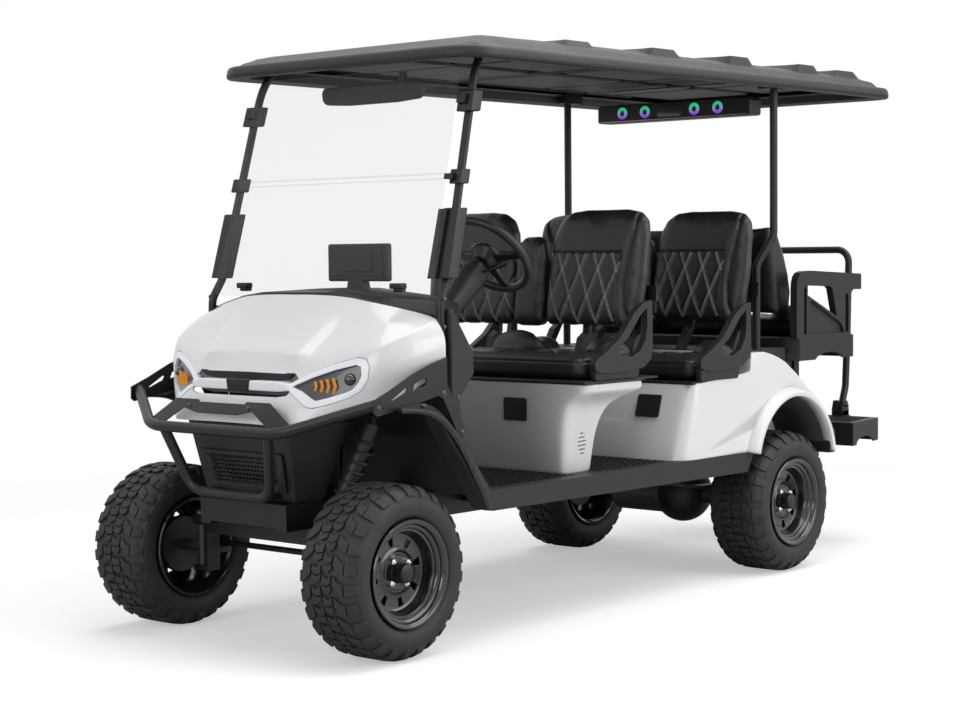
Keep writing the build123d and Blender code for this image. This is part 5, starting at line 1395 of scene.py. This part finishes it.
fascia = bmesh.new()
skin_rings(fascia,
           [[mm(*at) for at in ((-half, fascia_y(z), z), (-half * 0.5, fascia_y(z) - 6, z),
                                (half * 0.5, fascia_y(z) - 6, z), (half, fascia_y(z), z),
                                       (half + wider, rear, z), (-half - wider, rear, z))]
                    for z, half, wider, rear in ((497, 214, 0, 30), (520, 221, 4, 40), (712, 246, 24, 88),
                                                 (768, 256, 34, 100))])
shell = piece("fascia_shell", fascia, moulded_black, stands_for=["lower_fascia"])
mesh_hole = [(-161, 642), (161, 642), (148, 560), (-148, 560)]
cut(shell, tool(leaning(slab("front", mesh_hole, -30, 12))))
rounded(shell, 0.006, 3, 30)
surround = piece("fascia_mesh_surround",
                 leaning(slab("front", [(-204, 668), (204, 668), (196, 532), (-196, 532)], -14, -4)), moulded_black)
flared = bmesh.new()
skin_rings(flared, [[mm(x * grow, depth, 601 + (z - 601) * grow_up) for x, z in mesh_hole] for depth, grow,
                    grow_up in ((-30, 1.20, 1.55), (4, 0.96, 0.90))])
cut(surround, tool(leaning(flared)))
rounded(surround, 0.004, 3, 30)
comb = bmesh.new()
pitch = 16.5
for r in range(-4, 5):
    for c in range(-11, 12):
        cx, cz = (c + (0.5 if r % 2 else 0)) * pitch, 601 + r * pitch * 0.866
        if abs(cx) > 166 - (642 - cz) * 0.16 or abs(cz - 601) > 50:
            continue
        rim_loop, hole_loop = ([comb.verts.new(mm(cx + size * math.sin(k * math.tau / 6), 0,
                                                  cz + size * math.cos(k * math.tau / 6))) for k in range(6)]
                               for size in (pitch * 0.5774, pitch * 0.41))
        for k in range(6):
            comb.faces.new((rim_loop[k - 1], rim_loop[k], hole_loop[k], hole_loop[k - 1]))
bmesh.ops.remove_doubles(comb, verts=comb.verts[:], dist=2e-4)
mesh_panel = piece("fascia_hex_mesh", leaning(comb, 4), smooth_black, stands_for=["grille"])
thick(mesh_panel, 0.003)
# painted shade: a black sheet behind the hex mesh darkens the opening
piece("fascia_mesh_shadow", leaning(slab("front", mesh_hole, 8, 11)), rim_black)
print("fascia made")

# %% [markdown]
# The front flares are a folded band: a broad outer lip that turns over a soft edge and
# runs back to the body. One ring of six points is carried along three smooth lines.

# %% Front flares and side panels
lip_low = [(-31, 819), (31, 816), (83, 808), (126, 793), (162, 773), (206, 735), (241, 696), (277, 648), (322, 581),
           (358, 523), (392, 462)]
lip_high = [(-37, 837), (44, 830), (101, 821), (144, 806), (180, 786), (221, 752), (266, 704), (309, 646), (352, 584),
            (395, 513), (424, 466)]
back_line = [(-30, 832), (60, 842), (112, 842), (155, 830), (189, 812), (230, 780), (278, 735), (322, 680),
             (375, 603), (418, 538), (446, 500)]
bands = bmesh.new()
for side in (1, -1):
    rings = []
    for (ly, lz), (hy, hz), (by, bz) in zip(curve(lip_low, 4), curve(lip_high, 4), curve(back_line, 4)):
        rings.append([mm(side * x, y, z) for x, y,
                      z in ((640, ly + 3, lz + 3), (651, ly, lz), (656, (ly + hy) / 2, (lz + hz) / 2), (652, hy, hz),
                                                         (640, hy + 4, hz + 2), (613, by, bz), (613, by - 5, bz - 5),
                            (640, (ly + hy) / 2 + 2, (lz + hz) / 2))])
    skin_rings(bands, rings)
piece("front_flare_bands", bands, moulded_black, stands_for=["front_flares"], angle=50)
pillars = side_slabs([(150, 828), (232, 768), (322, 668), (392, 580), (470, 484), (462, 458), (436, 452), (404, 462),
                      (300, 618), (200, 742)], 560, 632)
rounded(piece("front_flare_pillars", pillars, moulded_black), 0.010, 3, 40)
bolts("flare_bolts", mirrored_sides([(634, 89, 839)]), (0.3, 0, 1), 8, 5)
for way, side in (("left", 1), ("right", -1)):
    panel_outline = [(262, 1150), (284, 1150), (304, 1112), (384, 1000), (386, 926), (312, 846), (330, 726),
                     (262, 752)]
    panel = piece(f"dash_side_panel_{way}", slab("side", panel_outline, side * 561, side * 600), moulded_black,
                  stands_for=["side_panels"] if side > 0 else [])
    rounded(panel, 0.006, 3)
    raised = [(264, 1132), (280, 1128), (298, 1096), (368, 996), (370, 930), (300, 856), (314, 745), (264, 762)]
    rounded(piece(f"dash_side_facet_{way}", slab("side", raised, side * 596, side * 605), moulded_black), 0.0035, 2)
bolts("strut_bolts", mirrored_sides([(605, 296, 852), (590, 248, 1090), (588, 252, 1183)]), (1, 0, 0), 6, 4)
print("flares and side panels made")
# %% [markdown]
# The steering wheel turns with its own body: a ring, three dished spokes and a domed hub,
# all placed along the column's axis. The column's shroud and its stalks stay on the chassis.

# %% Steering wheel and column shroud
tilt = math.radians(41.9)


def steered(a, b, c):
    """Millimetres across, down and along the steering axis, as millimetres in the cart."""
    return (300 + a, 812 + b * math.sin(tilt) + c * math.cos(tilt), 1328 - b * math.cos(tilt) + c * math.sin(tilt))


def turned_rings(profile, sides=40, square=2.0):
    """Rings round the steering axis from (radius, distance) points; a higher power squares them."""
    rings = []
    for radius, c in profile:
        ring = []
        for n in range(sides):
            u, v = math.cos(n * math.tau / sides), math.sin(n * math.tau / sides)
            a, b = (math.copysign(abs(w) ** (2 / square), w) * radius for w in (u, v))
            ring.append(mm(*steered(a, b, c)))
        rings.append(ring)
    return rings


wheel_ring = bmesh.new()
rim_line = [(166 * math.cos(n * math.tau / 72), 166 * math.sin(n * math.tau / 72)) for n in range(73)]
rings = []
for a, b in rim_line:
    ring = []
    for k in range(16):
        reach, lift = 1 + 15.5 / 166 * math.cos(k * math.tau / 16), 15.5 * math.sin(k * math.tau / 16)
        ring.append(mm(*steered(a * reach, b * reach, lift)))
    rings.append(ring)
skin_rings(wheel_ring, rings, False)
bmesh.ops.remove_doubles(wheel_ring, verts=wheel_ring.verts[:], dist=1e-5)
piece("steering_wheel_rim", wheel_ring, vinyl_black, "steering_wheel", ["steering_wheel"])
spokes = bmesh.new()
for turn in (0, 90, 180):
    u, v = math.cos(math.radians(turn)), math.sin(math.radians(turn))
    skin_rings(spokes,
               [[mm(*steered(u * far - v * half * w, v * far + u * half * w, c + t)) for w,
                 t in ((-1, -5), (1, -5), (1, 3), (-1, 3))]
                        for far, half, c in ((24, 26, -18), (70, 17, -14), (120, 13, -6), (160, 17, 0))])
rounded(piece("steering_spokes", spokes, smooth_black, "steering_wheel"), 0.0025, 2)
dome = bmesh.new()
skin_rings(dome,
           turned_rings([(30, -46), (36, -36), (40, -26), (56, -16), (60, -6), (58, 2), (48, 9), (30, 13), (12, 15)],
                        square=2.6))
piece("steering_hub", dome, smooth_black, "steering_wheel", angle=60)
shroud = bmesh.new()
skin_rings(shroud, turned_rings([(34, -330), (38, -250), (44, -170), (46, -110), (42, -72), (26, -60), (16, -54)],
                                square=3.2))
piece("column_shroud", shroud, moulded_black, angle=50, stands_for=["steering_column"])
stalks = bmesh.new()
for side in (1, -1):
    pipe(stalks, [steered(side * 36, -4, -96), steered(side * 84, -10, -88), steered(side * 118, -14, -74)], 5, 14)
    pipe(stalks, [steered(side * 104, -12, -80), steered(side * 142, -18, -66)], 8)
piece("column_stalks", stalks, smooth_black)
print("steering wheel, shroud and stalks made")

# %% [markdown]
# The display is a rounded tablet with a stepped back. The mirror is a wide oval-ended
# housing with glass on the driver's side, and the sound bar carries four lit rings.

# %% Display, mirror and sound bar
tablet = piece("display_tablet", slab("front", [(-138, 1238), (163, 1238), (163, 1374), (-138, 1374)], 424, 452),
               smooth_black, stands_for=["display"])
rounded(tablet, 0.009, 4)
back_steps = slab("front", [(-112, 1256), (137, 1256), (137, 1358), (-112, 1358)], 418, 426)
slab("front", [(-70, 1274), (95, 1274), (95, 1338), (-70, 1338)], 411, 420, back_steps)
slab("front", [(-38, 1208), (50, 1208), (40, 1246), (-28, 1246)], 418, 458, back_steps)
rounded(piece("display_back", back_steps, moulded_black), 0.003, 2)
piece("display_glass", slab("front", [(-128, 1248), (153, 1248), (153, 1364), (-128, 1364)], 451, 453), rim_black)
mirror_shape = [(-246, 1900), (-252, 1930), (-242, 1950), (-120, 1954), (120, 1954), (242, 1950), (252, 1930),
                (246, 1900), (230, 1887), (120, 1880), (-120, 1880), (-230, 1887)]
rounded(piece("mirror_housing", slab("front", mirror_shape, 516, 546), moulded_black, stands_for=["mirror"]), 0.009,
        4)
piece("mirror_glass", slab("front", [(x * 0.94, 1917 + (z - 1917) * 0.8) for x, z in mirror_shape], 545, 548), chrome)
rounded(piece("mirror_bracket", slab("front", [(130, 1944), (170, 1944), (160, 1986), (140, 1986)], 522, 542),
              moulded_black), 0.003, 2)
bar_box = slab("front", [(-400, 1912), (-392, 1905), (392, 1905), (400, 1912), (400, 1972), (388, 1983), (-388, 1983),
                         (-400, 1972)], 2405, 2495)
rounded(piece("sound_bar_case", bar_box, smooth_black, stands_for=["sound_bar"]), 0.012, 4)
piece("sound_bar_edge", pipe(bmesh.new(), [(-388, 2403, 1911), (388, 2403, 1911)], 2.5), zinc)
hangers = bmesh.new()
for side in (1, -1):
    slab("front", [(side * 280, 1980), (side * 310, 1980), (side * 310, 1988), (side * 280, 1988)], 2435, 2465,
         hangers)
piece("sound_bar_hangers", hangers, powder_black)
glow = bpy.data.materials.new("ring_glow")
glow.use_nodes = True
glow.node_tree.nodes.clear()
ring_place = shader(glow.node_tree, "ShaderNodeTexCoord")
ring_height = shader(glow.node_tree, "ShaderNodeSeparateXYZ", Vector=ring_place.outputs["Object"])
ring_level = shader(glow.node_tree, "ShaderNodeMapRange", Value=ring_height.outputs[2], From_Min=1.924,
                    From_Max=1.966)
ring_tint = shader(glow.node_tree, "ShaderNodeMix", set_data_type="RGBA", i0=ring_level.outputs[0],
                   i6=(0.35, 0.04, 0.85, 1), i7=(0.01, 0.80, 0.26, 1))
ring_skin = shader(glow.node_tree, "ShaderNodeBsdfPrincipled", Base_Color=ring_tint.outputs[2],
                   Emission_Color=ring_tint.outputs[2],
                   Emission_Strength=0.5, Roughness=0.4)
shader(glow.node_tree, "ShaderNodeOutputMaterial", Surface=ring_skin.outputs[0])
speaker_rings, speaker_cones = bmesh.new(), bmesh.new()
for x in (-262, -140, 120, 240):
    skin_rings(speaker_rings,
               [[mm(x + r * math.cos(n * math.tau / 40), y, 1945 + r * math.sin(n * math.tau / 40))
                 for n in range(40)]
                               for r, y in ((26, 2407), (26, 2402), (13, 2400), (12, 2407))])
    skin_rings(speaker_cones,
               [[mm(x + r * math.cos(n * math.tau / 32), y, 1945 + r * math.sin(n * math.tau / 32))
                 for n in range(32)]
                               for r, y in ((12, 2407), (11, 2403), (5, 2404), (2, 2402))])
piece("sound_bar_rings", speaker_rings, glow)
piece("sound_bar_cones", speaker_cones, rim_black)
rounded(piece("sound_bar_panel", slab("front", [(-72, 1918), (52, 1918), (52, 1970), (-72, 1970)], 2401, 2407),
              rim_black), 0.002, 2)
print("display, mirror and sound bar made")

# %% [markdown]
# The dashboard keeps its solid's outline, but its ends narrow toward the driver.

# %% Dashboard
dash = bmesh.new()
dash.from_mesh(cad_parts["dashboard"].data)
dash.transform(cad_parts["dashboard"].matrix_world)
bmesh.ops.remove_doubles(dash, verts=dash.verts[:], dist=1e-5)
bmesh.ops.dissolve_limit(dash, angle_limit=math.radians(1), verts=dash.verts[:], edges=dash.edges[:])
dash_shell = piece("dash_shell", dash, moulded_black, stands_for=["dashboard"])
dash_plan = [(-546, 60), (546, 60), (546, 290), (520, 380), (486, 440), (430, 500), (400, 530), (-400, 530),
             (-430, 500), (-486, 440), (-520, 380), (-546, 290)]
cut(dash_shell, tool(slab("plan", dash_plan, 800, 1300)), "INTERSECT")
print("dashboard made:", len(dash_shell.data.polygons), "faces")

# %% [markdown]
# The floor mat is a raised lattice of crossing ribs between the seat pods and the dash.

# %% Floor mat
ribs = bmesh.new()
mat_half, rib_half, rib_step = 540, 2.5, 36
for low, high in ((470, 1010), (1150, 1740)):
    for slope in (1, -1):
        for k in range(-60, 90):
            # a rib's line is y = start + slope * (x + mat_half), kept between low and high
            start = low + k * rib_step
            from_x, to_x = sorted(slope * (y - start) - mat_half for y in (low, high))
            from_x, to_x = max(-mat_half, from_x), min(mat_half, to_x)
            if to_x - from_x < 0.02 * 2 * mat_half:
                continue
            (x0, y0), (x1, y1) = ((x, start + slope * (x + mat_half)) for x in (from_x, to_x))
            rib = [(x0 - rib_half, y0), (x0 + rib_half, y0), (x1 + rib_half, y1), (x1 - rib_half, y1)]
            slab("plan", rib, 516.5, 519.5, ribs)
piece("floor_mat_ribs", ribs, smooth_black)
print("floor mat laid")

# %% [markdown]
# A coil spring is a helix of wire wound round each front damper.

# %% Front coil springs
coils = bmesh.new()
for side in (1, -1):
    foot, head = Vector((side * 262, 52, 470)), Vector((side * 340, 130, 700))
    along = (head - foot).normalized()
    across = along.orthogonal().normalized()
    over = along.cross(across)
    wound = [foot.lerp(head,
                       n / 96) + (across * math.cos(n * math.tau / 14) + over * math.sin(n * math.tau / 14)) * 33
             for n in range(97)]
    pipe(coils, wound, 5, 0, 8)
piece("front_coil_springs", coils, cast_grey)
print("coil springs wound")


# %% [markdown]
# CAD nodes that already have the right shape keep it and only get their finish.

# %% Finishes of the CAD nodes
worn = {
    powder_black: ["main_frame", "frame_posts", "outriggers", "shock_towers", "front_axle", "tie_rod",
                   "seat_back_frames", "front_canopy_frame", "rear_canopy_frame", "grab_hoop", "brush_guard"],
    cast_grey: ["rear_axle", "knuckle_left", "knuckle_right", "suspension"],
    moulded_black: ["floor_pan", "rockers", "seat_decks", "battery_block", "dashboard", "side_panels",
                    "rear_platform", "footplate", "lower_fascia", "hip_restraints", "front_flares"],
    smooth_black: ["steering_column", "pedals", "mirror", "sound_bar", "display", "grille", "steering_wheel"],
    roof_black: ["roof"],
    pearl_white: ["front_cowl", "front_seat_pod", "rear_body", "headlamps"],
    vinyl_black: ["front_cushion", "middle_cushion", "rear_cushion", "front_backrests", "middle_backrests",
                  "rear_backrest"],
    rim_black: ["rim_front_left", "rim_front_right", "rim_rear_left", "rim_rear_right"],
    tyre_rubber: ["tyre_front_left", "tyre_front_right", "tyre_rear_left", "tyre_rear_right"],
}
for coat, names in worn.items():
    for node_name in names:
        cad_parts[node_name].data.materials.clear()
        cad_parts[node_name].data.materials.append(coat)
print(sum(len(v) for v in worn.values()), "nodes coated")
